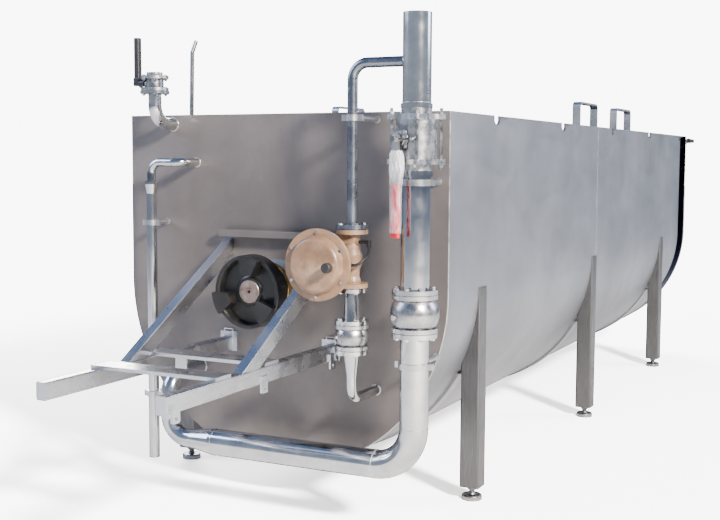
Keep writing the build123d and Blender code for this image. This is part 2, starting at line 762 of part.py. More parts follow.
with BuildPart() as ledge_bar:
    with BuildSketch(Plane.YZ.offset(-LEDGE_LENGTH / 2)) as ledge:
        with Locations((FRONT_Y, AXIS_Z + LEDGE_RISE)):
            Rectangle(LEDGE_DEPTH, LEDGE_HEIGHT, align=(Align.MAX, MIN))
        with Locations((FRONT_Y, AXIS_Z + LEDGE_RISE)):
            Rectangle(
                LEDGE_DEPTH - LEDGE_WALL,
                LEDGE_HEIGHT - LEDGE_WALL,
                align=(Align.MAX, MIN),
                mode=Mode.SUBTRACT,
            )
    extrude(amount=LEDGE_LENGTH)
    fillet(ledge_bar.edges().filter_by(Axis.X).group_by(Axis.Z)[-1].sort_by(Axis.Y)[0], 3)
save(ledge_bar.part, "ledge_bar")

# ---------------------------------------------------------------- main pipe line
riser = Plane((RISER_X, PIPE_Y, 0))
CAP_OUT = VALVE_BODY_HALF + EAR_THICK
NECK_OUT = CAP_OUT + CAP_NECK
PIPE_BORE = PIPE_RADIUS - PIPE_WALL

with BuildPart() as riser_pipe:
    ring(riser, VALVE_Z + NECK_OUT, RISER_TOP, PIPE_RADIUS, PIPE_BORE)
    ring(riser, VALVE_Z + NECK_OUT, VALVE_Z + NECK_OUT + 15, PIPE_RADIUS + 5, PIPE_BORE)
    branch = Plane(origin=(RISER_X, PIPE_Y, FEED_Z), x_dir=(0, 1, 0), z_dir=(-1, 0, 0))
    ring(branch, 0, PIPE_RADIUS + 5, SMALL_RADIUS - SMALL_WALL, mode=Mode.SUBTRACT)
save(riser_pipe.part, "riser_pipe")

stem_turn = radians(VALVE_TURN)
valve_up = Plane((RISER_X, PIPE_Y, VALVE_Z), x_dir=(cos(stem_turn), -sin(stem_turn), 0), z_dir=(0, 0, 1))
valve_stem = Plane(
    origin=(RISER_X, PIPE_Y, VALVE_Z),
    x_dir=(cos(stem_turn), -sin(stem_turn), 0),
    z_dir=(-sin(stem_turn), -cos(stem_turn), 0),
)

with BuildPart() as ball_valve_caps:
    for side in (-1, 1):
        with BuildSketch(valve_up.offset(side * VALVE_BODY_HALF)) as ears:
            RectangleRounded(2 * EAR_HALF, 2 * EAR_HALF, EAR_HALF - EAR_BOLT)
            Circle(BALL_BORE, mode=Mode.SUBTRACT)
            with GridLocations(2 * EAR_BOLT, 2 * EAR_BOLT, 2, 2):
                Circle(TIE_BOLT_RADIUS + LOOSE_FIT, mode=Mode.SUBTRACT)
            # The cap is waisted between its ears.
            with PolarLocations(EAR_HALF * 1.62, 4):
                Circle(EAR_HALF * 0.72, mode=Mode.SUBTRACT)
        extrude(ears.sketch, amount=side * EAR_THICK)
        neck_low, neck_high = sorted((side * CAP_OUT, side * NECK_OUT))
        ring(valve_up, neck_low, neck_high, PIPE_RADIUS + 3, PIPE_BORE)
        seat_low, seat_high = sorted((side * VALVE_BODY_HALF, side * BALL_BORE * 0.8))
        ring(valve_up, seat_low, seat_high, BALL_RADIUS, BALL_BORE)
    with Locations(valve_up.location):
        Sphere(BALL_RADIUS + SEAT_GAP, mode=Mode.SUBTRACT)
save(ball_valve_caps.part, "ball_valve_caps")

with BuildPart() as ball_valve_body:
    ring(valve_up, -VALVE_BODY_HALF, VALVE_BODY_HALF, VALVE_BODY_RADIUS)
    ring(valve_stem, 0, VALVE_BOSS_REACH, VALVE_BOSS_RADIUS)
    with BuildSketch(valve_stem.offset(VALVE_BOSS_REACH - 12)) as top_pad:
        RectangleRounded(64, 64, 10)
    extrude(top_pad.sketch, amount=8)
    ring(valve_up, -VALVE_BODY_HALF, VALVE_BODY_HALF, BALL_RADIUS + SEAT_GAP, mode=Mode.SUBTRACT)
    ring(valve_stem, 0, VALVE_BOSS_REACH + 1, VALVE_STEM_RADIUS + BORE_FIT, mode=Mode.SUBTRACT)
save(ball_valve_body.part, "ball_valve_body")

with BuildPart() as valve_ball:
    with Locations(valve_up.location):
        Sphere(BALL_RADIUS)
    ring(valve_up, -BALL_RADIUS, BALL_RADIUS, BALL_BORE, mode=Mode.SUBTRACT)
    ring(valve_stem, BALL_RADIUS - 8, LEVER_OFFSET + LEVER_THICK + 14, VALVE_STEM_RADIUS)
save(valve_ball.part, "valve_ball")

SLEEVE_START = LEVER_LENGTH - SLEEVE_LENGTH
FILM_START = LEVER_LENGTH - FILM_LENGTH
LEVER_MID = LEVER_OFFSET + LEVER_THICK / 2
lever_down = Plane(origin=valve_stem.offset(LEVER_MID).origin, x_dir=valve_stem.x_dir, z_dir=(0, 0, -1))

with BuildPart() as valve_lever:
    with BuildSketch(valve_stem.offset(LEVER_OFFSET)) as lever:
        with Locations((0, 22)):
            Rectangle(LEVER_WIDTH, LEVER_LENGTH + 22, align=(MID, Align.MAX))
        fillet(lever.vertices(), 12)
        Circle(VALVE_STEM_RADIUS + WELD_GAP, mode=Mode.SUBTRACT)
    extrude(amount=LEVER_THICK)
save(valve_lever.part, "valve_lever")


def flat_tube(start, end, gap, wall):
    """Add a flat rounded tube round the lever bar, open at both ends."""
    with BuildSketch(lever_down.offset(start)) as tube:
        width = LEVER_WIDTH + 2 * gap
        depth = LEVER_THICK + 2 * gap
        RectangleRounded(width + 2 * wall, depth + 2 * wall, depth / 2 + wall - 1)
        RectangleRounded(width, depth, min(depth / 2 - 0.5, gap + 0.5), mode=Mode.SUBTRACT)
    extrude(tube.sketch, amount=end - start)


with BuildPart() as lever_sleeve:
    flat_tube(SLEEVE_START, LEVER_LENGTH - 1, SLEEVE_FIT, SLEEVE_WALL)
save(lever_sleeve.part, "lever_sleeve")

with BuildPart() as lever_film:
    flat_tube(FILM_START, LEVER_LENGTH - 12, SLEEVE_FIT + SLEEVE_WALL + SEAT_GAP, FILM_WALL)
save(lever_film.part, "lever_film")

CHECK_TOP = CHECK_Z + CHECK_TOP_FACE
CHECK_LOW = CHECK_Z - CHECK_LOW_FACE
DROP_LOW = CHECK_TOP + GASKET_THICK
UNION_Z = VALVE_Z - NECK_OUT

with BuildPart() as drop_pipe:
    ring(riser, DROP_LOW, UNION_Z, PIPE_RADIUS, PIPE_BORE)
    ring(riser, UNION_Z - 21, UNION_Z, PIPE_RADIUS + 9, PIPE_BORE)
    flange(
        riser,
        DROP_LOW,
        DROP_LOW + FLANGE_THICK,
        CHECK_FLANGE_RADIUS,
        PIPE_BORE,
        CHECK_PCD,
        CHECK_BOLTS,
        CHECK_BOLT,
    )
save(drop_pipe.part, "drop_pipe")

check = Plane((RISER_X, PIPE_Y, CHECK_Z))
with BuildPart() as check_valve_body:
    ball_low = -CHECK_LOW_FACE + FLANGE_THICK
    ball_high = CHECK_TOP_FACE - FLANGE_THICK
    hollow_ball(check, CHECK_BALL_RADIUS, CHECK_WALL, ball_low, ball_high)
    for low in (-CHECK_LOW_FACE, CHECK_TOP_FACE - FLANGE_THICK):
        high = low + FLANGE_THICK
        flange(check, low, high, CHECK_FLANGE_RADIUS, PIPE_BORE, CHECK_PCD, CHECK_BOLTS, CHECK_BOLT)
    plug = Plane(origin=(RISER_X, PIPE_Y, CHECK_Z), x_dir=(0, 0, 1), z_dir=(-0.5, -0.866, -0.1))
    ring(plug, CHECK_BALL_RADIUS - 4, CHECK_BALL_RADIUS + 8, 11)
save(check_valve_body.part, "check_valve_body")

with BuildPart() as check_disc:
    SEAT_Z = -CHECK_LOW_FACE + FLANGE_THICK + SEAT_GAP
    ring(check, SEAT_Z, SEAT_Z + DISC_THICK, DISC_RADIUS)
    ring(check, SEAT_Z + DISC_THICK, SEAT_Z + DISC_THICK + 26, 9)
    ring(check, SEAT_Z - 18, SEAT_Z, PIPE_BORE - 3, PIPE_BORE - 8)
save(check_disc.part, "check_disc")

RETURN_TOP = CHECK_LOW - GASKET_THICK
with BuildPart() as return_pipe:
    pipe_run(
        [
            (RISER_X, PIPE_Y, RETURN_TOP),
            (RISER_X, PIPE_Y, RETURN_Z),
            (REDUCER_START, PIPE_Y, RETURN_Z),
        ],
        PIPE_RADIUS,
        PIPE_WALL,
        MAIN_BEND,
    )
    flange(
        riser,
        RETURN_TOP - FLANGE_THICK,
        RETURN_TOP,
        CHECK_FLANGE_RADIUS,
        PIPE_BORE,
        CHECK_PCD,
        CHECK_BOLTS,
        CHECK_BOLT,
    )
save(return_pipe.part, "return_pipe")

REDUCER_END = REDUCER_START - REDUCER_LENGTH
reducer_axis = Plane(origin=(REDUCER_START, PIPE_Y, RETURN_Z), x_dir=(0, 1, 0), z_dir=(-1, 0, 0))
with BuildPart() as return_elbow:
    turned(
        reducer_axis,
        [
            (PIPE_BORE, 0),
            (PIPE_RADIUS, 0),
            (PIPE_RADIUS, 15),
            (RETURN_RADIUS, REDUCER_LENGTH - 15),
            (RETURN_RADIUS, REDUCER_LENGTH),
            (RETURN_RADIUS - PIPE_WALL, REDUCER_LENGTH),
            (RETURN_RADIUS - PIPE_WALL, REDUCER_LENGTH - 15),
            (PIPE_BORE, 15),
        ],
    )
    pipe_run(
        [
            (REDUCER_END, PIPE_Y, RETURN_Z),
            (RETURN_X, PIPE_Y, RETURN_Z),
            (RETURN_X, PIPE_Y, RETURN_ENTRY_Z),
            (RETURN_X, FRONT_Y + PLATE_ENTRY, RETURN_ENTRY_Z),
        ],
        RETURN_RADIUS,
        PIPE_WALL,
        RETURN_BEND,
    )
save(return_elbow.part, "return_elbow")

# ---------------------------------------------------------------- small line
small = Plane((SMALL_X, PIPE_Y, AXIS_Z))
FEED_END = REGULATOR_TOP + GASKET_THICK

with BuildPart() as feed_pipe:
    pipe_run(
        [
            (RISER_X, PIPE_Y, FEED_Z),
            (SMALL_X, PIPE_Y, FEED_Z),
            (SMALL_X, PIPE_Y, AXIS_Z + FEED_END),
        ],
        SMALL_RADIUS,
        SMALL_WALL,
        SMALL_BEND,
    )
    saddle_cut = 3 * SMALL_RADIUS
    ring(riser, FEED_Z - saddle_cut, FEED_Z + saddle_cut, PIPE_RADIUS + WELD_GAP, mode=Mode.SUBTRACT)
    flange(
        small,
        FEED_END,
        FEED_END + FLANGE_THICK,
        SMALL_FLANGE_RADIUS,
        SMALL_RADIUS - SMALL_WALL,
        SMALL_PCD,
        SMALL_BOLTS,
        SMALL_BOLT,
        45,
    )
save(feed_pipe.part, "feed_pipe")

dome = facing_front(FRONT_Y - DOME_REACH, DOME_X, DOME_Z)
FITTING_BOSS = 4
LOWER_FITTING_X = DOME_X + DOME_RADIUS - 3
LOWER_FITTING_Z = DOME_Z + 2
UPPER_FITTING_X = SMALL_X + 76
UPPER_FITTING_Z = DOME_Z + 82
hose_y = FRONT_Y - DOME_REACH + 32
hose_back_y = PIPE_Y - 14
lower_fitting = Plane(origin=(LOWER_FITTING_X, hose_y, LOWER_FITTING_Z), x_dir=(0, 0, 1), z_dir=(1, 0, 0))
upper_fitting = Plane(origin=(SMALL_X, hose_back_y, UPPER_FITTING_Z), x_dir=(0, 0, 1), z_dir=(1, 0, 0))
CASE_DEPTH = DOME_REACH - PIPE_STANDOFF - 10
with BuildPart() as regulator_body:
    flange(
        small,
        REGULATOR_TOP - FLANGE_THICK,
        REGULATOR_TOP,
        SMALL_FLANGE_RADIUS,
        SMALL_RADIUS,
        SMALL_PCD,
        SMALL_BOLTS,
        SMALL_BOLT,
        45,
    )
    flange(
        small,
        REGULATOR_BOTTOM,
        REGULATOR_BOTTOM + FLANGE_THICK,
        SMALL_FLANGE_RADIUS,
        SMALL_RADIUS,
        SMALL_PCD,
        SMALL_BOLTS,
        SMALL_BOLT,
        45,
    )
    turned(
        small,
        [
            (0, REGULATOR_BOTTOM + 2),
            (33, REGULATOR_BOTTOM + 2),
            (33, REGULATOR_BOTTOM + FLANGE_THICK + 10),
            (27, REGULATOR_BOTTOM + FLANGE_THICK + 26),
            (29, REGULATOR_BOTTOM + FLANGE_THICK + 50),
            (40, REGULATOR_BOTTOM + FLANGE_THICK + 75),
            (40, REGULATOR_BOTTOM + FLANGE_THICK + 105),
            (31, REGULATOR_BOTTOM + FLANGE_THICK + 125),
            (31, REGULATOR_TOP - 2),
            (0, REGULATOR_TOP - 2),
        ],
    )
    # Yoke arms tie the pipe body to the rear half of the diaphragm case.
    with BuildSketch(facing_front(PIPE_Y + 26, 0, 0)) as yoke:
        with Locations(((DOME_X + SMALL_X) / 2 - 16, AXIS_Z + REGULATOR_TOP - FLANGE_THICK - 18)):
            RectangleRounded(SMALL_X - DOME_X + 72, 34, 8)
        with Locations(((DOME_X + SMALL_X) / 2 + 12, DOME_Z)):
            RectangleRounded(SMALL_X - DOME_X + 14, 58, 14)
    extrude(yoke.sketch, amount=58)
    turned(
        dome,
        [
            (0, -CASE_DEPTH),
            (52, -CASE_DEPTH),
            (DOME_RADIUS - 14, -CASE_DEPTH + 28),
            (DOME_RADIUS, -20),
            (DOME_FLANGE_RADIUS - 2, -20),
            (DOME_FLANGE_RADIUS - 2, -11),
            (0, -11),
        ],
    )
    # Bosses for the two hose fittings.
    ring(lower_fitting, -24, FITTING_BOSS, 2 * HOSE_RADIUS)
    ring(upper_fitting, 16, 31 + FITTING_BOSS, 2 * HOSE_RADIUS)
    ring(small, REGULATOR_BOTTOM, REGULATOR_TOP, SMALL_RADIUS, mode=Mode.SUBTRACT)
    ring(dome, -46, -11, DOME_RADIUS - 22, mode=Mode.SUBTRACT)
    bolt_holes(dome, -21, -9, 2 * DOME_BOLT_RADIUS, DOME_BOLTS, 4, 30)
save(regulator_body.part, "regulator_body")

with BuildPart() as actuator_cover:
    with BuildSketch(Plane(dome.origin, x_dir=dome.x_dir, z_dir=-dome.y_dir)) as cover:
        with BuildLine():
            Polyline(
                (0, -10),
                (DOME_FLANGE_RADIUS, -10),
                (DOME_FLANGE_RADIUS, 0),
                (DOME_RADIUS + 4, 0),
                (DOME_RADIUS - 6, DOME_HEIGHT - 9),
                (0, DOME_HEIGHT),
                close=True,
            )
        make_face()
        fillet(cover.vertices().group_by(Axis.X)[-2], 1)
        shoulder = cover.vertices().sort_by_distance((DOME_RADIUS - 6, DOME_HEIGHT - 9))[0]
        fillet(shoulder, 18)
        with Locations((0, -10)):
            Rectangle(DOME_RADIUS - 22, 30, align=(MIN, MIN), mode=Mode.SUBTRACT)
    revolve(cover.sketch, axis=Axis(dome.origin, dome.z_dir))
    with BuildSketch(dome) as pockets:
        with PolarLocations(DOME_BOLT_RADIUS, DOME_BOLTS, start_angle=30):
            Circle(13)
    extrude(pockets.sketch, amount=DOME_HEIGHT, mode=Mode.SUBTRACT)
    bolt_holes(dome, -11, 1, 2 * DOME_BOLT_RADIUS, DOME_BOLTS, 4, 30)
    knob = facing_front(FRONT_Y - DOME_REACH, DOME_X + KNOB_OFFSET, DOME_Z - KNOB_DROP)
    ring(knob, DOME_HEIGHT - 16, DOME_HEIGHT + 6, 15)
save(actuator_cover.part, "actuator_cover")

with BuildPart() as actuator_cap:
    ring(knob, DOME_HEIGHT + 6, DOME_HEIGHT + 18, 10)
    ring(knob, DOME_HEIGHT + 18, DOME_HEIGHT + 40, 18)
    fillet(actuator_cap.edges().sort_by(Axis.Y)[0], 4)
save(actuator_cap.part, "actuator_cap")

# The impulse hose leaves the case behind the cover and loops round the body to an elbow fitting above.
with BuildPart() as hose_fittings:
    ring(lower_fitting, FITTING_BOSS, FITTING_BOSS + 18, 2 * HOSE_RADIUS - 1)
    ring(upper_fitting, 31 + FITTING_BOSS, UPPER_FITTING_X - SMALL_X, HOSE_RADIUS + 2)
    elbow_block = Plane((UPPER_FITTING_X, hose_back_y, UPPER_FITTING_Z))
    ring(elbow_block, -18, 8, 2 * HOSE_RADIUS - 1)
save(hose_fittings.part, "hose_fittings")

HOSE_POINTS = [
    (LOWER_FITTING_X + FITTING_BOSS + 18, hose_y, LOWER_FITTING_Z),
    (LOWER_FITTING_X + FITTING_BOSS + 44, hose_y, LOWER_FITTING_Z),
    (UPPER_FITTING_X + 2, hose_y + 16, LOWER_FITTING_Z + 20),
    (UPPER_FITTING_X, hose_back_y, UPPER_FITTING_Z - 46),
    (UPPER_FITTING_X, hose_back_y, UPPER_FITTING_Z - 18),
]


def arc_radii(points):
    """Largest tangent arc at each corner: 0.45 of the shorter run over the tangent of half the turn."""
    vectors = [Vector(*point) for point in points]
    radii = []
    for before, corner, after in zip(vectors, vectors[1:], vectors[2:]):
        half_turn = (corner - before).get_angle(after - corner) / 2
        shorter = min((corner - before).length, (after - corner).length)
        radii.append(0.45 * shorter * cos(radians(half_turn)) / sin(radians(half_turn)))
    return radii


with BuildPart() as impulse_hose:
    hose_radii = arc_radii(HOSE_POINTS)
    print("impulse hose arc radii", [round(radius, 1) for radius in hose_radii])
    with BuildLine() as hose_route:
        FilletPolyline(*HOSE_POINTS, radius=hose_radii)
    with BuildSketch(Plane(hose_route.line @ 0, z_dir=hose_route.line % 0)) as hose_section:
        Circle(HOSE_RADIUS)
    sweep(hose_section.sketch, path=hose_route.line)
    print("impulse hose length", round(hose_route.wires()[0].length, 1))
save(impulse_hose.part, "impulse_hose")


def cone_with_flanges(top, bottom, top_radius, bottom_radius, top_flange, bottom_flange):
    """Add a pipe reducer between two heights with a flange at the ends that have one."""
    turned(
        small,
        [
            (top_radius - 2, top),
            (top_radius, top),
            (bottom_radius, bottom),
            (bottom_radius - 2, bottom),
        ],
    )
    if top_flange:
        flange(
            small,
            top - SMALL_FLANGE_THICK,
            top,
            top_flange,
            top_radius - 2,
            SMALL_PCD,
            SMALL_BOLTS,
            SMALL_BOLT,
            45,
        )
    if bottom_flange:
        flange(
            small,
            bottom,
            bottom + SMALL_FLANGE_THICK,
            bottom_flange,
            bottom_radius - 2,
            SMALL_PCD,
            SMALL_BOLTS,
            SMALL_BOLT,
            45,
        )


with BuildPart() as upper_cone:
    cone_with_flanges(
        REGULATOR_BOTTOM - GASKET_THICK,
        SMALL_CHECK_TOP + GASKET_THICK,
        CONE_SMALL_RADIUS,
        CONE_LARGE_RADIUS,
        SMALL_FLANGE_RADIUS,
        SMALL_FLANGE_RADIUS + 4,
    )
save(upper_cone.part, "upper_cone")

small_check = Plane((SMALL_X, PIPE_Y, AXIS_Z + (SMALL_CHECK_TOP + SMALL_CHECK_BOTTOM) / 2))
SMALL_HALF = (SMALL_CHECK_TOP - SMALL_CHECK_BOTTOM) / 2
SMALL_BORE = CONE_LARGE_RADIUS - 2
with BuildPart() as small_check_body:
    low_face = -SMALL_HALF + SMALL_FLANGE_THICK
    hollow_ball(small_check, SMALL_CHECK_RADIUS, SMALL_CHECK_WALL, low_face, -low_face)
    for low in (-SMALL_HALF, SMALL_HALF - SMALL_FLANGE_THICK):
        high = low + SMALL_FLANGE_THICK
        outer = SMALL_FLANGE_RADIUS + 4
        flange(small_check, low, high, outer, SMALL_BORE, SMALL_PCD, SMALL_BOLTS, SMALL_BOLT, 45)
    small_plug = Plane(origin=small_check.origin, x_dir=(0, 0, 1), z_dir=(-0.6, -0.8, 0))
    ring(small_plug, SMALL_CHECK_RADIUS - 4, SMALL_CHECK_RADIUS + 6, 8)
save(small_check_body.part, "small_check_body")

with BuildPart() as small_check_disc:
    SMALL_SEAT = -SMALL_HALF + SMALL_FLANGE_THICK + SEAT_GAP
    ring(small_check, SMALL_SEAT, SMALL_SEAT + 8, SMALL_BORE + 6)
    ring(small_check, SMALL_SEAT + 8, SMALL_SEAT + 22, 6)
    ring(small_check, SMALL_SEAT - 12, SMALL_SEAT, SMALL_BORE - 3, SMALL_BORE - 7)
save(small_check_disc.part, "small_check_disc")

with BuildPart() as inlet_bend:
    cone_with_flanges(
        SMALL_CHECK_BOTTOM - GASKET_THICK,
        LOWER_CONE_BOTTOM,
        CONE_LARGE_RADIUS,
        SMALL_RADIUS,
        SMALL_FLANGE_RADIUS + 4,
        0,
    )
    pipe_run(
        [
            (SMALL_X, PIPE_Y, AXIS_Z + LOWER_CONE_BOTTOM),
            (SMALL_X, PIPE_Y, AXIS_Z - SMALL_ENTRY_DROP),
            (SMALL_X, FRONT_Y + PLATE_ENTRY, AXIS_Z - SMALL_ENTRY_DROP),
        ],
        SMALL_RADIUS,
        2,
        SMALL_ENTRY_BEND,
    )
save(inlet_bend.part, "inlet_bend")

# ---------------------------------------------------------------- inlet with butterfly valve
INLET_Y = FRONT_Y - INLET_STANDOFF
inlet = Plane((INLET_X, INLET_Y, INLET_TOP))
LINER = INLET_RADIUS - INLET_WALL


def butterfly_housing(plane, stem_dir):
    """Add a wafer valve body with a flange below and a clamp ring above."""
    flange(plane, 0.5, BUTTERFLY_RING_THICK, BUTTERFLY_FLANGE_RADIUS, LINER, 88, 4, 4, 45)
    ring(plane, BUTTERFLY_RING_THICK, BUTTERFLY_HEIGHT, BUTTERFLY_RADIUS - 8, LINER)
    top = BUTTERFLY_HEIGHT + BUTTERFLY_RING_THICK
    flange(plane, BUTTERFLY_HEIGHT, top, BUTTERFLY_FLANGE_RADIUS, LINER, 88, 4, 4, 45)
    ring(plane, top, top + 14, INLET_RADIUS + 6, LINER)
    stem = Plane(plane.offset(top / 2).origin, x_dir=(0, 0, 1), z_dir=stem_dir)
    ring(stem, LINER + 2, BUTTERFLY_RADIUS, 2 * BUTTERFLY_STEM_RADIUS)
    ring(stem, 0, BUTTERFLY_RADIUS + 1, BUTTERFLY_STEM_RADIUS + BORE_FIT, mode=Mode.SUBTRACT)


def butterfly_flap(plane, stem_dir, facing):
    """Add the round flap, which faces one direction at rest, and its stem."""
    middle = plane.offset((BUTTERFLY_HEIGHT + BUTTERFLY_RING_THICK) / 2).origin
    stem = Plane(middle, x_dir=(0, 0, 1), z_dir=stem_dir)
    flap = Plane(middle, x_dir=stem_dir, z_dir=facing)
    ring(flap, -2, 2, LINER - SEAT_GAP)
    ring(stem, -LINER + 6, BUTTERFLY_STEM_REACH, BUTTERFLY_STEM_RADIUS)
    ring(stem, LINER - SEAT_GAP, BUTTERFLY_STEM_REACH, BUTTERFLY_STEM_RADIUS)


def butterfly_grip(plane, stem_dir, upright):
    """Add the moulded lever: a hub on the stem, an elbow, and a grip that stands up or points back."""
    middle = plane.offset((BUTTERFLY_HEIGHT + BUTTERFLY_RING_THICK) / 2).origin
    stem = Plane(middle, x_dir=(0, 1, 0), z_dir=stem_dir)
    up = 1 if stem.y_dir.Z > 0 else -1
    with BuildSketch(stem.offset(BUTTERFLY_RADIUS + 1)) as hub:
        Circle(HUB_RADIUS)
        Circle(BUTTERFLY_STEM_RADIUS + WELD_GAP, mode=Mode.SUBTRACT)
    extrude(hub.sketch, amount=GRIP_THICK)
    with BuildSketch(stem.offset(BUTTERFLY_RADIUS + 1 + GRIP_THICK)) as elbow:
        with Locations((0, up * 8)):
            RectangleRounded(GRIP_WIDTH, 34, 6)
    extrude(elbow.sketch, amount=GRIP_THICK)
    reach = BUTTERFLY_RADIUS + 1 + 1.5 * GRIP_THICK
    grip_x = middle.X + reach * stem_dir[0]
    grip_plane = Plane((grip_x, middle.Y, middle.Z + GRIP_START))
    if not upright:
        grip_plane = Plane((grip_x, middle.Y - GRIP_START, middle.Z + 8), x_dir=(1, 0, 0), z_dir=(0, 1, 0))
    with BuildSketch(grip_plane) as grip:
        RectangleRounded(GRIP_THICK - 2, GRIP_WIDTH - 2, 6)
    extrude(grip.sketch, amount=GRIP_LENGTH - GRIP_START)


LEFTWARD = (-1, 0, 0)
RIGHTWARD = (1, 0, 0)

with BuildPart() as inlet_elbow:
    pipe_run(
        [
            (INLET_X, FRONT_Y + PLATE_ENTRY, INLET_Z),
            (INLET_X, INLET_Y, INLET_Z),
            (INLET_X, INLET_Y, INLET_TOP),
        ],
        INLET_RADIUS,
        INLET_WALL,
        INLET_BEND,
    )
    flange(inlet, -BUTTERFLY_RING_THICK, 0, BUTTERFLY_FLANGE_RADIUS + 3, LINER, 88, 4, 4, 45)
save(inlet_elbow.part, "inlet_elbow")

with BuildPart() as butterfly_body:
    butterfly_housing(inlet, LEFTWARD)
save(butterfly_body.part, "butterfly_body")

with BuildPart() as butterfly_disc:
    butterfly_flap(inlet, LEFTWARD, (0, 1, 0))
save(butterfly_disc.part, "butterfly_disc")

with BuildPart() as butterfly_lever:
    butterfly_grip(inlet, LEFTWARD, True)
save(butterfly_lever.part, "butterfly_lever")

# ---------------------------------------------------------------- overflow, drain and vent
OVERFLOW_Y = FRONT_Y - OVERFLOW_STANDOFF
FUNNEL_TOP = RIM_Z - FUNNEL_TOP_DROP
with BuildPart() as overflow_pipe:
    pipe_run(
        [
            (OVERFLOW_X, FRONT_Y + PLATE_ENTRY, OVERFLOW_Z),
            (OVERFLOW_X, OVERFLOW_Y, OVERFLOW_Z),
            (DRAIN_X, OVERFLOW_Y, OVERFLOW_Z),
            (DRAIN_X, OVERFLOW_Y, FUNNEL_TOP - 18),
        ],
        OVERFLOW_RADIUS,
        SMALL_WALL,
        OVERFLOW_BEND,
    )
save(overflow_pipe.part, "overflow_pipe")

with BuildPart() as drain_pipe:
    turned(
        Plane((DRAIN_X, OVERFLOW_Y, FUNNEL_TOP)),
        [
            (DRAIN_RADIUS - 2, DRAIN_END - FUNNEL_TOP),
            (DRAIN_RADIUS, DRAIN_END - FUNNEL_TOP),
            (DRAIN_RADIUS, -FUNNEL_HEIGHT),
            (FUNNEL_RADIUS, -12),
            (FUNNEL_RADIUS, 0),
            (FUNNEL_RADIUS - 2, 0),
            (FUNNEL_RADIUS - 2, -12),
            (DRAIN_RADIUS - 2, -FUNNEL_HEIGHT),
        ],
    )
save(drain_pipe.part, "drain_pipe")

VENT_Y = FRONT_Y + VENT_SETBACK
with BuildPart() as vent_tube:
    pipe_run(
        [
            (VENT_X, FRONT_Y + END_WALL, RIM_Z - VENT_START_DROP),
            (VENT_X, VENT_Y, RIM_Z - VENT_START_DROP),
            (VENT_X + 8, VENT_Y, RIM_Z + VENT_RISE),
            (VENT_X + 28, VENT_Y, RIM_Z + VENT_TIP),
        ],
        VENT_RADIUS,
        1,
        22,
    )
save(vent_tube.part, "vent_tube")

# ---------------------------------------------------------------- rear outlet
REAR_OUT = REAR_Y + REAR_STANDOFF
rear_port = Plane((REAR_X, REAR_OUT, REAR_Z + REAR_STUB))
with BuildPart() as rear_elbow:
    pipe_run(
        [
            (REAR_X, REAR_Y - PLATE_ENTRY, REAR_Z),
            (REAR_X, REAR_OUT, REAR_Z),
            (REAR_X, REAR_OUT, REAR_Z + REAR_STUB),
        ],
        INLET_RADIUS,
        INLET_WALL,
        60,
    )
    flange(rear_port, -BUTTERFLY_RING_THICK, 0, BUTTERFLY_FLANGE_RADIUS, LINER, 88, 4, 4, 45)
save(rear_elbow.part, "rear_elbow")

with BuildPart() as rear_valve_body:
    butterfly_housing(rear_port, RIGHTWARD)
save(rear_valve_body.part, "rear_valve_body")

with BuildPart() as rear_valve_disc:
    butterfly_flap(rear_port, RIGHTWARD, (0, 0, 1))
save(rear_valve_disc.part, "rear_valve_disc")

with BuildPart() as rear_valve_lever:
    butterfly_grip(rear_port, RIGHTWARD, False)
save(rear_valve_lever.part, "rear_valve_lever")

# ---------------------------------------------------------------- pipe clamps with bosses to the plate


def clamp(x, y, z, radius):
    """Add a pipe ring with two ears and the stub that ties it to the front plate."""
    plane = Plane((x, y, z))
    ring(plane, -CLAMP_WIDTH / 2, CLAMP_WIDTH / 2, radius + CLAMP_THICK, radius + WELD_GAP)
    with BuildSketch(plane.offset(-CLAMP_WIDTH / 2)) as ears:
        for side in (-1, 1):
            with Locations((side * (radius + CLAMP_THICK + 6), 0)):
                Rectangle(20, 14)
        Circle(radius + CLAMP_THICK / 2, mode=Mode.SUBTRACT)
    extrude(ears.sketch, amount=CLAMP_WIDTH)
    with BuildSketch(facing_front(FRONT_Y, x, z)) as stub:
        Circle(BOSS_RADIUS - 2)
    extrude(stub.sketch, amount=FRONT_Y - y - radius - CLAMP_THICK / 2)
    with BuildSketch(facing_front(FRONT_Y, x, z)) as foot:
        Circle(BOSS_RADIUS + 2)
    extrude(foot.sketch, amount=5)


with BuildPart() as pipe_clamps:
    clamp(RISER_X, PIPE_Y, VALVE_Z - 152, PIPE_RADIUS)
    clamp(RISER_X, PIPE_Y, CHECK_Z - 188, PIPE_RADIUS)
    clamp(SMALL_X, PIPE_Y, RIM_Z - 30, SMALL_RADIUS)
    clamp(DRAIN_X, OVERFLOW_Y, RIM_Z - 442, DRAIN_RADIUS)
    clamp(DRAIN_X, OVERFLOW_Y, RAIL_TOP - 250, DRAIN_RADIUS)
save(pipe_clamps.part, "pipe_clamps")

# ---------------------------------------------------------------- gaskets and fasteners
with BuildPart() as gaskets:
    for level in (CHECK_TOP, CHECK_LOW - GASKET_THICK):
        ring(riser, level, level + GASKET_THICK, CHECK_PCD / 2 - 8, PIPE_BORE)
    for level in (
        REGULATOR_TOP,
        REGULATOR_BOTTOM - GASKET_THICK,
        SMALL_CHECK_TOP,
        SMALL_CHECK_BOTTOM - GASKET_THICK,
    ):
        ring(small, level, level + GASKET_THICK, SMALL_PCD / 2 - 7, SMALL_BORE)
    ring(dome, -11, -10, DOME_BOLT_RADIUS - 7)
save(gaskets.part, "gaskets")

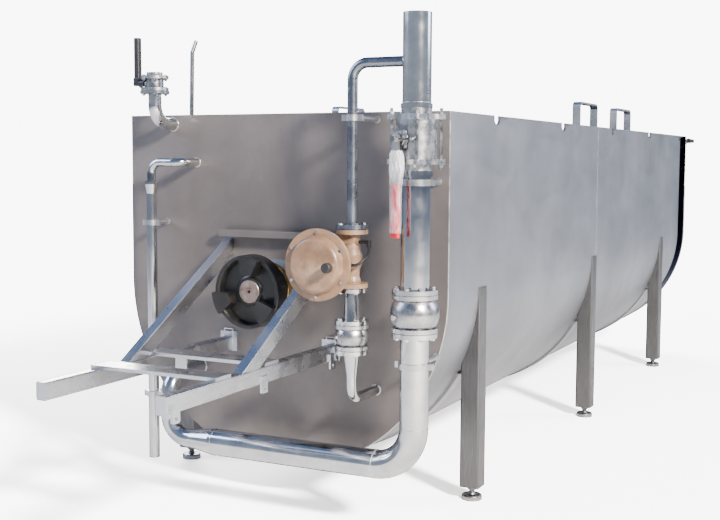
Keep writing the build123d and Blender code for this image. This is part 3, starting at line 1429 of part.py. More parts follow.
with BuildPart() as flange_bolts:
    # Screws enter the cast bodies' tapped flanges from above, and from below through a plane turned over.
    riser_under = Plane((RISER_X, PIPE_Y, 0), x_dir=(1, 0, 0), z_dir=(0, 0, -1))
    small_under = Plane(small.origin, x_dir=(1, 0, 0), z_dir=(0, 0, -1))
    bolt_circle(
        riser,
        CHECK_TOP - FLANGE_THICK,
        DROP_LOW + FLANGE_THICK,
        CHECK_PCD,
        CHECK_BOLTS,
        CHECK_BOLT,
        nut=False,
    )
    bolt_circle(
        riser_under,
        -CHECK_LOW - FLANGE_THICK,
        -RETURN_TOP + FLANGE_THICK,
        CHECK_PCD,
        CHECK_BOLTS,
        CHECK_BOLT,
        nut=False,
    )
    for low, high in (
        (REGULATOR_TOP - FLANGE_THICK, FEED_END + FLANGE_THICK),
        (SMALL_CHECK_TOP - SMALL_FLANGE_THICK, SMALL_CHECK_TOP + GASKET_THICK + SMALL_FLANGE_THICK),
    ):
        bolt_circle(small, low, high, SMALL_PCD, SMALL_BOLTS, SMALL_BOLT, 45, nut=False)
    for high, low in (
        (REGULATOR_BOTTOM + FLANGE_THICK, REGULATOR_BOTTOM - GASKET_THICK - SMALL_FLANGE_THICK),
        (SMALL_CHECK_BOTTOM + SMALL_FLANGE_THICK, SMALL_CHECK_BOTTOM - GASKET_THICK - SMALL_FLANGE_THICK),
    ):
        bolt_circle(small_under, -high, -low, SMALL_PCD, SMALL_BOLTS, SMALL_BOLT, 45, nut=False)
    bolt_circle(dome, -20, 0, 2 * DOME_BOLT_RADIUS, DOME_BOLTS, 4, 30)
    for port in (inlet, rear_port):
        bolt_circle(port, -BUTTERFLY_RING_THICK, BUTTERFLY_RING_THICK, 88, 4, 4, 45)
        bolt_circle(port, BUTTERFLY_HEIGHT, BUTTERFLY_HEIGHT + BUTTERFLY_RING_THICK, 88, 4, 4, 45)
    for axis_plane in (axis_front, rear_axis):
        bolt_circle(axis_plane, -END_WALL, BEARING_FLANGE_THICK, BEARING_PCD, 4, 8, 45)
    # Four long tie bolts clamp the ball valve's caps to its body.
    with BuildSketch(valve_up.offset(-NECK_OUT)) as tie_shanks:
        with GridLocations(2 * EAR_BOLT, 2 * EAR_BOLT, 2, 2):
            Circle(TIE_BOLT_RADIUS)
    extrude(tie_shanks.sketch, amount=2 * NECK_OUT)
    for level in (CAP_OUT, -CAP_OUT - TIE_NUT_HEIGHT):
        with BuildSketch(valve_up.offset(level)) as tie_nuts:
            with GridLocations(2 * EAR_BOLT, 2 * EAR_BOLT, 2, 2):
                RegularPolygon(1.8 * TIE_BOLT_RADIUS, 6)
        extrude(tie_nuts.sketch, amount=TIE_NUT_HEIGHT)
save(flange_bolts.part, "flange_bolts")
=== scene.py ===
# %% [markdown]
# # An open dairy vat with its agitator drive, valves and pipework
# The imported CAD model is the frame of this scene. It holds every part that has a real size, and
# this file gives those parts their finishes, adds the small things that a drawing leaves out, such
# as weld beads and creased packing film, and sets up the camera and the light.

# %% Load the frame
import math

import bmesh
import bpy
from mathutils import Matrix, Vector, noise


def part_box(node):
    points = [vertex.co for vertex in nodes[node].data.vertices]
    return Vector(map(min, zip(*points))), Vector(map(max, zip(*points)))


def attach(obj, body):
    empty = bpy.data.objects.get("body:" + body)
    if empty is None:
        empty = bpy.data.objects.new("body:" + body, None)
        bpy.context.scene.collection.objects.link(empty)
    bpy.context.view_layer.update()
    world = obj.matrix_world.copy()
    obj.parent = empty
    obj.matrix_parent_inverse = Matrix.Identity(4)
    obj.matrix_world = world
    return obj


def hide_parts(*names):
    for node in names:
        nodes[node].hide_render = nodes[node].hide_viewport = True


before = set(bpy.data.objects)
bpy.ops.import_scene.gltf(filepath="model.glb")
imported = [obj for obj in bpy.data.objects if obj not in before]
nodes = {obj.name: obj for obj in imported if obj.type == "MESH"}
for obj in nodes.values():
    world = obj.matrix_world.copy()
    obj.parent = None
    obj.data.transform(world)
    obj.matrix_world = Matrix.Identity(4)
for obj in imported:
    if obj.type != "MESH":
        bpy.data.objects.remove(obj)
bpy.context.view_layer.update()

MM = 0.001

# %% [markdown]
# ## Places taken from the frame
# A vat like this is drawn from its front plate. Each place below is read from a CAD part's box, so
# that the pieces made here still fit when the drawing changes.

# %% Read the main places
plate_low, plate_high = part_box("front_plate")
FRONT_Y = plate_low.y
RIM_Z = plate_high.z
HALF_WIDTH = plate_high.x
BOTTOM_Z = plate_low.z
AXIS_Z = BOTTOM_Z + HALF_WIDTH
REAR_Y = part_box("rear_plate")[1].y
riser_low, riser_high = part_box("riser_pipe")
riser_x = (riser_low.x + riser_high.x) / 2
riser_y = (riser_low.y + riser_high.y) / 2
print("front plate at Y", round(FRONT_Y, 3), "rim at", round(RIM_Z, 3), "shaft axis at", round(AXIS_Z, 3))

# %% [markdown]
# ## Camera
# The vat is seen from its front right corner by someone standing about four metres off, with the
# eye a little below the rim. A normal lens keeps the perspective of that distance, so the far end of
# the vat looks much smaller than the near one.

# %% Place the camera
EYE_FROM_PLATE = Vector((2.302, -3.870, 1.377))
TURN_LEFT, TILT, ROLL = math.radians(26.64), math.radians(-5.06), math.radians(0.27)
LENS_MM = 56.35


def stand(name, data):
    """Makes an object of some data and puts it in the scene."""
    thing = bpy.data.objects.new(name, data)
    bpy.context.scene.collection.objects.link(thing)
    return thing


camera = stand("camera", bpy.data.cameras.new("camera"))
camera.data.lens = LENS_MM
camera.data.sensor_width = 36
camera.location = Vector((0, FRONT_Y, 0)) + EYE_FROM_PLATE
turn = Matrix.Rotation(TURN_LEFT, 4, "Z")
tilt = Matrix.Rotation(math.pi / 2 + TILT, 4, "X")
camera.rotation_euler = (turn @ tilt @ Matrix.Rotation(ROLL, 4, "Z")).to_euler()
camera.data.clip_start, camera.data.clip_end = 0.05, 200
bpy.context.scene.camera = camera
print("camera at", [round(v, 2) for v in camera.location])

# %% [markdown]
# ## Light
# Steel shows what stands round it, so the light is made of large plain panels. The key stands low on
# the right and a little in front, which puts soft shadows of the pipes on the front plate. A cool
# panel on the left colours the faces that turn away from the key, and two more panels light the far
# side and the back. The sky of the studio is a gradient with a dark band at the horizon, which gives
# the tubes their dark edges, and only reflections see it. What the camera sees behind the vat is
# plain and pale. The floor takes shadows and is otherwise as pale as the backdrop, so that no line
# shows where it ends.


# %% One colour function and one node function for every finish
def linear(code):
    """Turns an sRGB hex colour such as #8c8684 to the linear values that a shader works in."""
    channels = [int(code[i : i + 2], 16) / 255 for i in (1, 3, 5)]
    return [c / 12.92 if c <= 0.04045 else ((c + 0.055) / 1.055) ** 2.4 for c in channels] + [1.0]


def add(tree, kind, settings=None, inputs=None, links=None):
    """Adds a node, sets its properties and its input values, and links sockets to its inputs."""
    node = tree.nodes.new(kind)
    for name, value in (settings or {}).items():
        setattr(node, name, value)
    for name, value in (inputs or {}).items():
        node.inputs[name].default_value = value
    for name, socket in (links or {}).items():
        tree.links.new(socket, node.inputs[name])
    return node


# %% Studio sky, floor and lamps
def ramp_stops(node, stops):
    """Gives a colour ramp its stops, as (place, hex colour or grey value)."""
    ramp = node.color_ramp
    while len(ramp.elements) < len(stops):
        ramp.elements.new(0.5)
    for element, (place, colour) in zip(ramp.elements, stops):
        element.position = place
        element.color = linear(colour) if isinstance(colour, str) else (colour, colour, colour, 1)
    return node


world = bpy.data.worlds.new("studio")
bpy.context.scene.world = world
world.use_nodes = True
sky = world.node_tree
sky.nodes.clear()
direction = add(sky, "ShaderNodeTexCoord")
height = add(sky, "ShaderNodeSeparateXYZ", links={"Vector": direction.outputs["Generated"]})
raised = add(
    sky,
    "ShaderNodeMapRange",
    inputs={"From Min": -0.3, "From Max": 1.0},
    links={"Value": height.outputs["Z"]},
)
SKY_STOPS = [
    (0.0, "#6a6460"),
    (0.19, "#7d7874"),
    (0.225, "#3f4148"),
    (0.27, "#ccd5e2"),
    (0.42, "#a3b8d6"),
    (1.0, "#6683b8"),
]
dome_colour = ramp_stops(
    add(sky, "ShaderNodeValToRGB", links={"Fac": raised.outputs["Result"]}), SKY_STOPS
)
dome_light = add(
    sky,
    "ShaderNodeBackground",
    inputs={"Strength": 0.95},
    links={"Color": dome_colour.outputs["Color"]},
)
backdrop = add(sky, "ShaderNodeBackground", inputs={"Color": linear("#fdfdfc"), "Strength": 9.0})
rays = add(sky, "ShaderNodeLightPath")
mixed = add(
    sky,
    "ShaderNodeMixShader",
    links={0: rays.outputs["Is Camera Ray"], 1: dome_light.outputs[0], 2: backdrop.outputs[0]},
)
add(sky, "ShaderNodeOutputWorld", links={"Surface": mixed.outputs[0]})


def lamp(name, place, target, size, power, colour):
    """Hangs a square soft panel that faces a target."""
    data = bpy.data.lights.new(name, "AREA")
    data.shape = "RECTANGLE"
    data.size, data.size_y = size
    data.energy = power
    data.color = linear(colour)[:3]
    panel = stand(name, data)
    panel.location = place
    panel.rotation_euler = (Vector(target) - Vector(place)).to_track_quat("-Z", "Y").to_euler()
    return panel


middle = Vector((0, FRONT_Y + 0.6, 0.9))
lamp("key", middle + Vector((7.2, -4.6, 4.4)), middle, (1.1, 1.1), 3900, "#fff4e6")
lamp("cool_fill", middle + Vector((-6, -3.5, 4)), middle, (4, 4), 520, "#d3dfff")
lamp("far_side", Vector((7, REAR_Y + 1, 4.5)), Vector((0.7, 0.8, 0.9)), (4, 4), 520, "#eef3ff")
lamp("back_fill", Vector((-6.5, REAR_Y + 4.5, 4.5)), Vector((-0.3, 0.8, 0.9)), (5, 5), 1500, "#fff8f0")

floor_mesh = bpy.data.meshes.new("studio_floor")
floor_build = bmesh.new()
bmesh.ops.create_circle(floor_build, cap_ends=True, segments=96, radius=60)
floor_build.to_mesh(floor_mesh)
floor_build.free()
studio_floor = stand("studio_floor", floor_mesh)
studio_floor.is_shadow_catcher = True
floor_paint = bpy.data.materials.new("pale_floor_paint")
floor_paint.use_nodes = True
floor_shader = floor_paint.node_tree.nodes["Principled BSDF"]
floor_shader.inputs["Base Color"].default_value = linear("#e6e5e2")
floor_shader.inputs["Roughness"].default_value = 0.9
floor_mesh.materials.append(floor_paint)

# %% [markdown]
# ## Finishes
# Nearly everything here is stainless steel, and what tells one part from the next is how its surface
# was made: rolled and pickled sheet is matt and cloudy, hollow section is brushed along its length,
# tube is polished round and round, castings are blasted, and fasteners are left bright. Each finish
# below is one function that starts from a shader with the metal's own values.


# %% Start a finish, and the textures that most finishes share
def start(name, colour, metal, rough):
    """Starts a material and gives its tree and its principled shader."""
    material = bpy.data.materials.new(name)
    material.use_nodes = True
    tree = material.node_tree
    shader = tree.nodes["Principled BSDF"]
    shader.inputs["Base Color"].default_value = linear(colour)
    shader.inputs["Metallic"].default_value = metal
    shader.inputs["Roughness"].default_value = rough
    return material, tree, shader


def place(tree, stretch=(1, 1, 1)):
    """The object's own coordinates in metres, stretched to turn grain into lines."""
    coords = add(tree, "ShaderNodeTexCoord")
    return add(
        tree,
        "ShaderNodeMapping",
        inputs={"Scale": stretch},
        links={"Vector": coords.outputs["Object"]},
    ).outputs["Vector"]


def cloud(tree, vector, size_mm, detail=4, rough=0.55, spread=0.0):
    """Noise whose blotches are about size_mm across."""
    return add(
        tree,
        "ShaderNodeTexNoise",
        inputs={"Scale": 1000 / size_mm, "Detail": detail, "Roughness": rough, "Distortion": spread},
        links={"Vector": vector},
    ).outputs["Fac"]


def between(tree, value, low, high, first=0.35, last=0.65):
    """Stretches a noise value to a range of plain numbers."""
    return add(
        tree,
        "ShaderNodeMapRange",
        inputs={"From Min": first, "From Max": last, "To Min": low, "To Max": high},
        links={"Value": value},
    ).outputs["Result"]


def tint(tree, value, stops):
    """Colours a value with a ramp of hex stops."""
    return ramp_stops(add(tree, "ShaderNodeValToRGB", links={"Fac": value}), stops).outputs["Color"]


def blend_colour(tree, amount, under, over, how="MIX"):
    """Lays one colour over another by an amount."""
    node = add(tree, "ShaderNodeMix", {"data_type": "RGBA", "blend_type": how})
    for socket, value in ((node.inputs[0], amount), (node.inputs[6], under), (node.inputs[7], over)):
        if isinstance(value, bpy.types.NodeSocket):
            tree.links.new(value, socket)
        else:
            socket.default_value = value
    return node.outputs[2]


def multiply(tree, first, second):
    """The product of two values."""
    node = add(tree, "ShaderNodeMath", {"operation": "MULTIPLY"}, links={0: first})
    if isinstance(second, bpy.types.NodeSocket):
        tree.links.new(second, node.inputs[1])
    else:
        node.inputs[1].default_value = second
    return node.outputs[0]


def relief(tree, shader, value, depth_mm, strength=1.0):
    """Raises or sinks the surface by a value, with a depth in millimetres."""
    bump = add(
        tree,
        "ShaderNodeBump",
        inputs={"Distance": depth_mm * MM, "Strength": strength},
        links={"Height": value},
    )
    tree.links.new(bump.outputs["Normal"], shader.inputs["Normal"])


def edge_wear(tree):
    """Light on convex edges and dark in corners, from the shape itself."""
    geometry = add(tree, "ShaderNodeNewGeometry")
    return between(tree, geometry.outputs["Pointiness"], 0.0, 1.0, 0.49, 0.56)


def join(tree, socket, shader, name):
    """Links a value to one of the shader's sockets."""
    tree.links.new(socket, shader.inputs[name])


finishes = {}


def give(material, *names):
    """Gives a finish to CAD parts, and notes it under its name."""
    finishes[material.name] = material
    for name in names:
        mesh = nodes[name].data
        mesh.materials.clear()
        mesh.materials.append(material)
        mesh.polygons.foreach_set("material_index", [0] * len(mesh.polygons))


# %% [markdown]
# ### Cold-rolled stainless sheet
# The plates and the shell are cold-rolled stainless steel sheet with a matt mill finish. The mill
# leaves a fine grain in one direction, the pickling leaves soft clouds, and hands, rain and dust
# leave runs and smears. The grain is noise that is squeezed in one direction, and the marks are two
# more noises of very different sizes, one of which is drawn out downwards.


# %% Sheet finish
def rolled_sheet(name, shades, rough, grain, runs=0.4, smear=0.5, metal=0.9):
    """Matt sheet: broad clouds, grain along one axis, runs down the wall and grey smears."""
    material, tree, shader = start(name, shades[1], metal, rough)
    clouds = cloud(tree, place(tree), 420, detail=5)
    colour = tint(tree, clouds, [(0.3, shades[0]), (0.5, shades[1]), (0.72, shades[2])])
    streaks = cloud(tree, place(tree, (1, 1, 0.06)), 45, detail=6, rough=0.7)
    run_amount = between(tree, streaks, 0.0, runs, 0.55, 0.75)
    colour = blend_colour(tree, run_amount, colour, linear(shades[0]))
    wiped = cloud(tree, place(tree, (1, 0.35, 0.7)), 160, detail=8, rough=0.62, spread=1.6)
    smear_amount = between(tree, wiped, 0.0, smear, 0.58, 0.74)
    colour = blend_colour(tree, smear_amount, colour, linear(shades[2]))
    join(tree, colour, shader, "Base Color")
    fine = cloud(tree, place(tree, grain), 6, detail=3)
    join(tree, between(tree, wiped, rough - 0.03, rough + 0.04), shader, "Roughness")
    relief(tree, shader, fine, 0.05, 0.35)
    return material


ALONG_X, ALONG_Y, ALONG_Z = (0.03, 1, 1), (1, 0.03, 1), (1, 1, 0.03)
# The plates are the same steel as the side sheet but have darker, warmer shades: painted reflection of the
# darker ground in front of the vat.
PLATE_SHADES = ["#5f5b5a", "#6b6665", "#7a7574"]
SIDE_SHADES = ["#7e8188", "#888b92", "#95989f"]
plate_finish = rolled_sheet("matt_rolled_plate_painted_reflection", PLATE_SHADES, 0.44, ALONG_Z, 0.3, 0.35, 0.6)
give(plate_finish, "front_plate", "rear_plate", "ledge_bar")
give(rolled_sheet("rolled_side_sheet", SIDE_SHADES, 0.46, ALONG_Z, 0.4, 0.15), "tank_shell")
give(
    rolled_sheet("rolled_strip", SIDE_SHADES, 0.34, ALONG_Y, 0.2, 0.3),
    "saddle_straps",
    "rim_bars",
    "agitator_paddles",
)

# %% [markdown]
# ### Bright rolled tail sheet
# The last ring of the shell is bright-annealed sheet. It has no grain to speak of, so it mirrors what
# stands behind it. Its dark blue base colour is painted reflection of the blue sky, which makes it look
# dark and blue beside the matt sheet. At a flat angle every metal turns bright, and a dark blue tint
# painted on its edge colour keeps this one blue there. A very soft, long wave in the surface bends the
# mirror image, as thin rolled sheet does.

# %% Mirror sheet
# The dark blue base colour and the blue edge tint are painted reflection of the blue sky, not the steel's own
# colour.
mirror, tree, shader = start("bright_sheet_painted_sky_reflection", "#1c2534", 1.0, 0.12)
shader.inputs["Specular Tint"].default_value = linear("#1b2f5c")
waves = cloud(tree, place(tree, (1, 0.4, 1)), 260, detail=2)
dirt = cloud(tree, place(tree, (1, 1, 0.2)), 30, detail=7, rough=0.7)
join(tree, between(tree, dirt, 0.1, 0.26), shader, "Roughness")
# Dirt varies the roughness, and the same noise shifts the painted sky reflection between two dark blues.
join(tree, tint(tree, dirt, [(0.35, "#182130"), (0.7, "#2e3747")]), shader, "Base Color")
relief(tree, shader, waves, 2.0, 0.5)
give(mirror, "tail_shell")

# %% [markdown]
# ### Brushed hollow section and bar
# Rails, braces, legs and bows are stainless hollow section, brushed along its length with a belt of
# about 240 grit. Real scratches are some hundredths of a millimetre wide. They are drawn about a
# millimetre wide here, because finer ones would vanish at this distance. The brushing also makes the
# highlight longer across the scratches, which is what anisotropy does.


# %% Brushed finish
def brushed(name, shades, rough, grain, worn=0.4):
    """Brushed section: fine scratches along one axis, with patches that were handled."""
    material, tree, shader = start(name, shades[1], 1.0, rough)
    scratches = cloud(tree, place(tree, grain), 1.6, detail=3, rough=0.6)
    patches = cloud(tree, place(tree), 120, detail=5)
    colour = tint(tree, scratches, [(0.3, shades[0]), (0.5, shades[1]), (0.7, shades[2])])
    wear = multiply(tree, edge_wear(tree), worn)
    join(tree, blend_colour(tree, wear, colour, linear("#d4d5d8")), shader, "Base Color")
    join(tree, between(tree, patches, rough - 0.05, rough + 0.1), shader, "Roughness")
    shader.inputs["Anisotropic"].default_value = 0.45
    relief(tree, shader, scratches, 0.06, 0.4)
    return material


SECTION_SHADES = ["#9aa0aa", "#adb2bb", "#c6c9ce"]
give(
    brushed("brushed_section_along", SECTION_SHADES, 0.26, (1, 0.02, 1)),
    "rail_left",
    "rail_right",
    "braces",
    "lifting_bows",
)
give(brushed("brushed_section_across", SECTION_SHADES, 0.28, (0.02, 1, 1)), "crossbars")
# The legs are the same brushed section as the rails, with much darker shades and almost no edge wear: painted
# shade under the vat.
give(brushed("brushed_leg_section_painted_shade", ["#49494a", "#555556", "#6c6c6d"], 0.36, (1, 1, 0.02), 0.06), "legs")

# %% [markdown]
# ### Satin tube
# Dairy tube is polished on a lathe-like machine with the belt running round it. The lines are too
# fine to see, but they stretch the highlight along the tube. Handling adds dull patches. The faint
# straw colour that a weld leaves beside it is not drawn.


# %% Tube finish
def satin_tube(name, shades, rough):
    """Satin tube with dull handled patches."""
    material, tree, shader = start(name, shades[1], 1.0, rough)
    patches = cloud(tree, place(tree), 70, detail=6, rough=0.62)
    rings = cloud(tree, place(tree, (0.1, 0.1, 1)), 1.5, detail=2)
    colour = tint(tree, patches, [(0.3, shades[0]), (0.5, shades[1]), (0.7, shades[2])])
    join(tree, colour, shader, "Base Color")
    join(tree, between(tree, patches, rough - 0.03, rough + 0.05), shader, "Roughness")
    relief(tree, shader, rings, 0.03, 0.3)
    return material


TUBE_SHADES = ["#b0b2b5", "#bcbec1", "#c8cacc"]
give(
    satin_tube("satin_dairy_tube", TUBE_SHADES, 0.14),
    "drain_pipe",
    "drop_pipe",
    "inlet_bend",
    "inlet_elbow",
    "overflow_pipe",
    "rear_elbow",
    "return_elbow",
    "return_pipe",
    "riser_pipe",
    "upper_cone",
    "vent_tube",
)
# The feed pipe is the same dairy tube with darker, bluer shades: painted shade on it.
give(satin_tube("satin_thin_tube_painted_shade", ["#737883", "#7b818b", "#888e97"], 0.26), "feed_pipe")
give(satin_tube("satin_clamp_strip", TUBE_SHADES, 0.3), "pipe_clamps")

# %% [markdown]
# ### Blasted castings, bright bolts and polished inner parts
# Valve bodies are investment castings, blasted with glass beads to an even silk. The beads are about
# a tenth of a millimetre, drawn here as pits of about a millimetre. Bolts and nuts are cold-headed and
# left bright. Discs and balls are polished.


# %% Casting, bolt and polished finishes
def blasted(name, shades, rough, pit_mm=1.2):
    """Bead-blasted casting: even pits, darker in corners and lighter on edges."""
    material, tree, shader = start(name, shades[1], 1.0, rough)
    pits = cloud(tree, place(tree), pit_mm, detail=2)
    patches = cloud(tree, place(tree), 35, detail=4)
    colour = tint(tree, patches, [(0.3, shades[0]), (0.5, shades[1]), (0.7, shades[2])])
    wear = multiply(tree, edge_wear(tree), 0.5)
    join(tree, blend_colour(tree, wear, colour, linear("#d9d9d9")), shader, "Base Color")
    join(tree, between(tree, patches, rough - 0.05, rough + 0.08), shader, "Roughness")
    relief(tree, shader, pits, 0.12, 0.5)
    return material


CAST_SHADES = ["#818284", "#96979a", "#adaeb0"]
give(
    blasted("bead_blasted_casting", CAST_SHADES, 0.27),
    "ball_valve_body",
    "ball_valve_caps",
    "butterfly_body",
    "check_valve_body",
    "rear_valve_body",
    "small_check_body",
)
give(blasted("bright_bolts", ["#9c9c9c", "#b4b4b5", "#c8c8c9"], 0.2, 2.5), "flange_bolts")
give(
    satin_tube("polished_valve_parts", ["#b5b5b6", "#c6c6c7", "#d6d6d6"], 0.1),
    "butterfly_disc",
    "check_disc",
    "rear_valve_disc",
    "small_check_disc",
    "valve_ball",
)
give(satin_tube("stamped_lever_strip", ["#9d9c99", "#b0afac", "#c4c3c1"], 0.3), "valve_lever")
feet_finish = blasted("turned_foot_steel", ["#3b3b3d", "#555557", "#77777a"], 0.34, 1.8)
give(feet_finish, *[f"levelling_foot_{n}" for n in range(1, 7)])

# %% [markdown]
# ### Turned shaft end and bronze gland
# A lathe leaves a spiral that looks like fine rings. Rings come from a wave texture that runs
# outwards from the axis, so it has to be placed on the shaft's own centre.


# %% Turned finishes
def turned_metal(name, shades, rough, ring_mm):
    """Turned metal: rings about the agitator's axis, and a thin film of old oil."""
    material, tree, shader = start(name, shades[1], 1.0, rough)
    coords = add(tree, "ShaderNodeTexCoord")
    centred = add(
        tree,
        "ShaderNodeMapping",
        inputs={"Location": (0, 0, -AXIS_Z), "Scale": (1, 0.4, 1)},
        links={"Vector": coords.outputs["Object"]},
    )
    rings = add(
        tree,
        "ShaderNodeTexWave",
        {"wave_type": "RINGS", "rings_direction": "SPHERICAL"},
        {"Scale": 1000 / (ring_mm * 20), "Distortion": 0.6, "Detail": 2},
        {"Vector": centred.outputs["Vector"]},
    )
    oil = cloud(tree, place(tree), 28, detail=6, rough=0.65)
    colour = tint(tree, oil, [(0.32, shades[0]), (0.5, shades[1]), (0.68, shades[2])])
    join(tree, colour, shader, "Base Color")
    join(tree, between(tree, oil, rough - 0.06, rough + 0.12), shader, "Roughness")
    relief(tree, shader, rings.outputs["Fac"], 0.08, 0.5)
    return material


give(turned_metal("turned_shaft_steel", ["#7c6a60", "#9c8a80", "#b5a79e"], 0.32, 1.5), "agitator_shaft")
give(turned_metal("turned_bronze", ["#7d5f30", "#a5834a", "#c4a468"], 0.3, 2.0), "gland_ring")

# %% [markdown]
# ### Painted castings
# The coupling half is black machine paint over cast iron, semi-gloss, with dust on it. The bearing
# housings are blue. The diaphragm valve is beige enamel, sprayed on a sand casting and baked, so the
# sand grain shows through it and the edges are a little thin. Paint is not a metal, so its highlight
# is white and its colour comes from below the surface.


# %% Paint finishes
def painted(name, shades, rough, coat, grain_mm, grain_depth, dust="#8a8580", dusty=0.25):
    """Paint on a casting: cast grain, thin light edges, and dust that gathers unevenly."""
    material, tree, shader = start(name, shades[1], 0.0, rough)
    shader.inputs["Coat Weight"].default_value = coat
    shader.inputs["Coat Roughness"].default_value = 0.12
    grain = cloud(tree, place(tree), grain_mm, detail=3, rough=0.6)
    patches = cloud(tree, place(tree), 60, detail=6, rough=0.6)
    colour = tint(tree, patches, [(0.3, shades[0]), (0.5, shades[1]), (0.7, shades[2])])
    colour = blend_colour(tree, multiply(tree, edge_wear(tree), 0.35), colour, linear(shades[2]))
    dust_amount = between(tree, patches, 0.0, dusty, 0.55, 0.8)
    join(tree, blend_colour(tree, dust_amount, colour, linear(dust)), shader, "Base Color")
    join(tree, between(tree, patches, rough - 0.06, rough + 0.14), shader, "Roughness")
    relief(tree, shader, grain, grain_depth, 0.45)
    return material


BLACKS = ["#040405", "#070708", "#121214"]
give(painted("black_machine_paint", BLACKS, 0.36, 0.12, 2.2, 0.16, "#4a4743", 0.08), "coupling_half")
give(painted("blue_machine_paint", ["#39404d", "#454e5e", "#5c6678"], 0.4, 0.2, 2.5, 0.2), "flange_bearings")
give(
    painted("beige_enamel", ["#624b3b", "#745b46", "#8d725c"], 0.4, 0.15, 2.8, 0.22, "#9a8c7d", 0.2),
    "actuator_cover",
    "regulator_body",
)

# %% [markdown]
# ### Plastics and rubber
# Lever grips and small caps are moulded polyamide with a spark-eroded texture, the lever sleeve is
# dipped vinyl with a wet gloss, and gaskets and the hose are plain black rubber.


# %% Plastic finishes
def moulded(name, shades, rough, grain_mm, grain_depth, gloss=0.0):
    """Moulded plastic or rubber: an even fine texture with scuffs that lighten it."""
    material, tree, shader = start(name, shades[1], 0.0, rough)
    shader.inputs["Coat Weight"].default_value = gloss
    texture = cloud(tree, place(tree), grain_mm, detail=2)
    scuffs = cloud(tree, place(tree, (1, 1, 0.3)), 22, detail=7, rough=0.68)
    colour = tint(tree, scuffs, [(0.35, shades[0]), (0.55, shades[1]), (0.78, shades[2])])
    join(tree, colour, shader, "Base Color")
    join(tree, between(tree, scuffs, rough - 0.05, rough + 0.12), shader, "Roughness")
    relief(tree, shader, texture, grain_depth, 0.4)
    return material


give(
    moulded("moulded_polyamide", ["#101012", "#161618", "#2c2c2f"], 0.42, 1.4, 0.1),
    "actuator_cap",
    "butterfly_lever",
    "hose_fittings",
    "rear_valve_lever",
)
rubber_finish = moulded("matt_nitrile_rubber", ["#0c0c0c", "#131313", "#262524"], 0.55, 1.8, 0.08)
give(rubber_finish, "gaskets", "impulse_hose")
give(moulded("dipped_red_vinyl", ["#a8121b", "#c81a25", "#dd3a40"], 0.24, 9, 0.2, 0.6), "lever_sleeve")
print("finishes:", len(finishes))

# %% [markdown]
# ## Packing film on the lever
# The ball valve's lever still wears a bag of thin film from the factory. It is bunched up under the
# stem and pulled down over the red sleeve, so it is wide and full of sharp creases at the top and
# close to the sleeve lower down. It is built as rings of points round the lever. Each ring's size
# comes from a few named widths, and the creases are two sets of ridges that run down the bag and
# slowly turn round it, which is how film folds when it is squeezed.

# %% Build the film bag
STEM_TILT = math.radians(20)
FILM_RINGS, FILM_SIDES = 96, 88
FILM_LIFT, FILM_DROP = 0.040, 0.287
# (part of the way down, half width, half depth, sideways shift) in metres
FILM_PROFILE = [
    (0.0, 0.019, 0.0125, 0.002),
    (0.06, 0.027, 0.0155, 0.004),
    (0.2, 0.0295, 0.0165, 0.005),
    (0.34, 0.0265, 0.0150, 0.002),
    (0.45, 0.0245, 0.0138, 0.0),
    (0.8, 0.0240, 0.0135, 0.0),
    (1.0, 0.0232, 0.0130, 0.0),
]
across = Vector((math.cos(STEM_TILT), -math.sin(STEM_TILT), 0))
outward = Vector((-math.sin(STEM_TILT), -math.cos(STEM_TILT), 0))
film_low, film_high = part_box("lever_film")
film_axis = (film_low + film_high) / 2


def profile_at(part):
    """The film's half width, half depth and shift at a part of the way down."""
    for first, second in zip(FILM_PROFILE, FILM_PROFILE[1:]):
        if part <= second[0]:
            t = (part - first[0]) / (second[0] - first[0])
            t = t * t * (3 - 2 * t)
            return [a + (b - a) * t for a, b in zip(first[1:], second[1:])]
    return FILM_PROFILE[-1][1:]


def crease(angle, part):
    """How far a crease stands out, in metres: ridges that drift round the bag, deeper at the top."""
    drift = noise.noise(Vector((0.0, 0.0, part * 5))) * 1.6
    where = Vector((math.cos(angle + drift) * 2.1, math.sin(angle + drift) * 2.1, part * 4.5))
    ridge = 0.5 - abs(noise.noise(where * 1.6)) * 1.7
    fine = 0.4 - abs(noise.noise(where * 4.1 + Vector((7, 3, 1)))) * 1.5
    return (ridge * 0.0034 + fine * 0.0012) * (1.25 - 0.7 * min(part * 1.8, 1))


film_mesh = bpy.data.meshes.new("packing_film")
build = bmesh.new()
rows = []
for r in range(FILM_RINGS + 1):
    part = r / FILM_RINGS
    half_width, half_depth, shift = profile_at(part)
    row = []
    for k in range(FILM_SIDES):
        angle = 2 * math.pi * k / FILM_SIDES
        fold = crease(angle, part)
        hem = noise.noise(Vector((math.cos(angle) * 2, math.sin(angle) * 2, 9))) * 0.006
        sag = hem * (part if part > 0.5 else 1 - part)
        spot = Vector((film_axis.x, film_axis.y, film_high.z + FILM_LIFT - part * FILM_DROP + sag))
        spot += across * (math.copysign(abs(math.cos(angle)) ** 0.8, math.cos(angle)) * half_width)
        spot += outward * (math.copysign(abs(math.sin(angle)) ** 0.8, math.sin(angle)) * half_depth)
        spot += across * (shift + math.cos(angle) * fold) + outward * (math.sin(angle) * fold)
        row.append(build.verts.new(spot))
    rows.append(row)
for upper, lower in zip(rows, rows[1:]):
    for k in range(FILM_SIDES):
        j = (k + 1) % FILM_SIDES
        build.faces.new((upper[k], upper[j], lower[j], lower[k]))
bmesh.ops.recalc_face_normals(build, faces=build.faces)
film_area = sum(f.calc_area() for f in build.faces)
build.to_mesh(film_mesh)
build.free()
film_mesh.shade_smooth()
film = stand("packing_film", film_mesh)

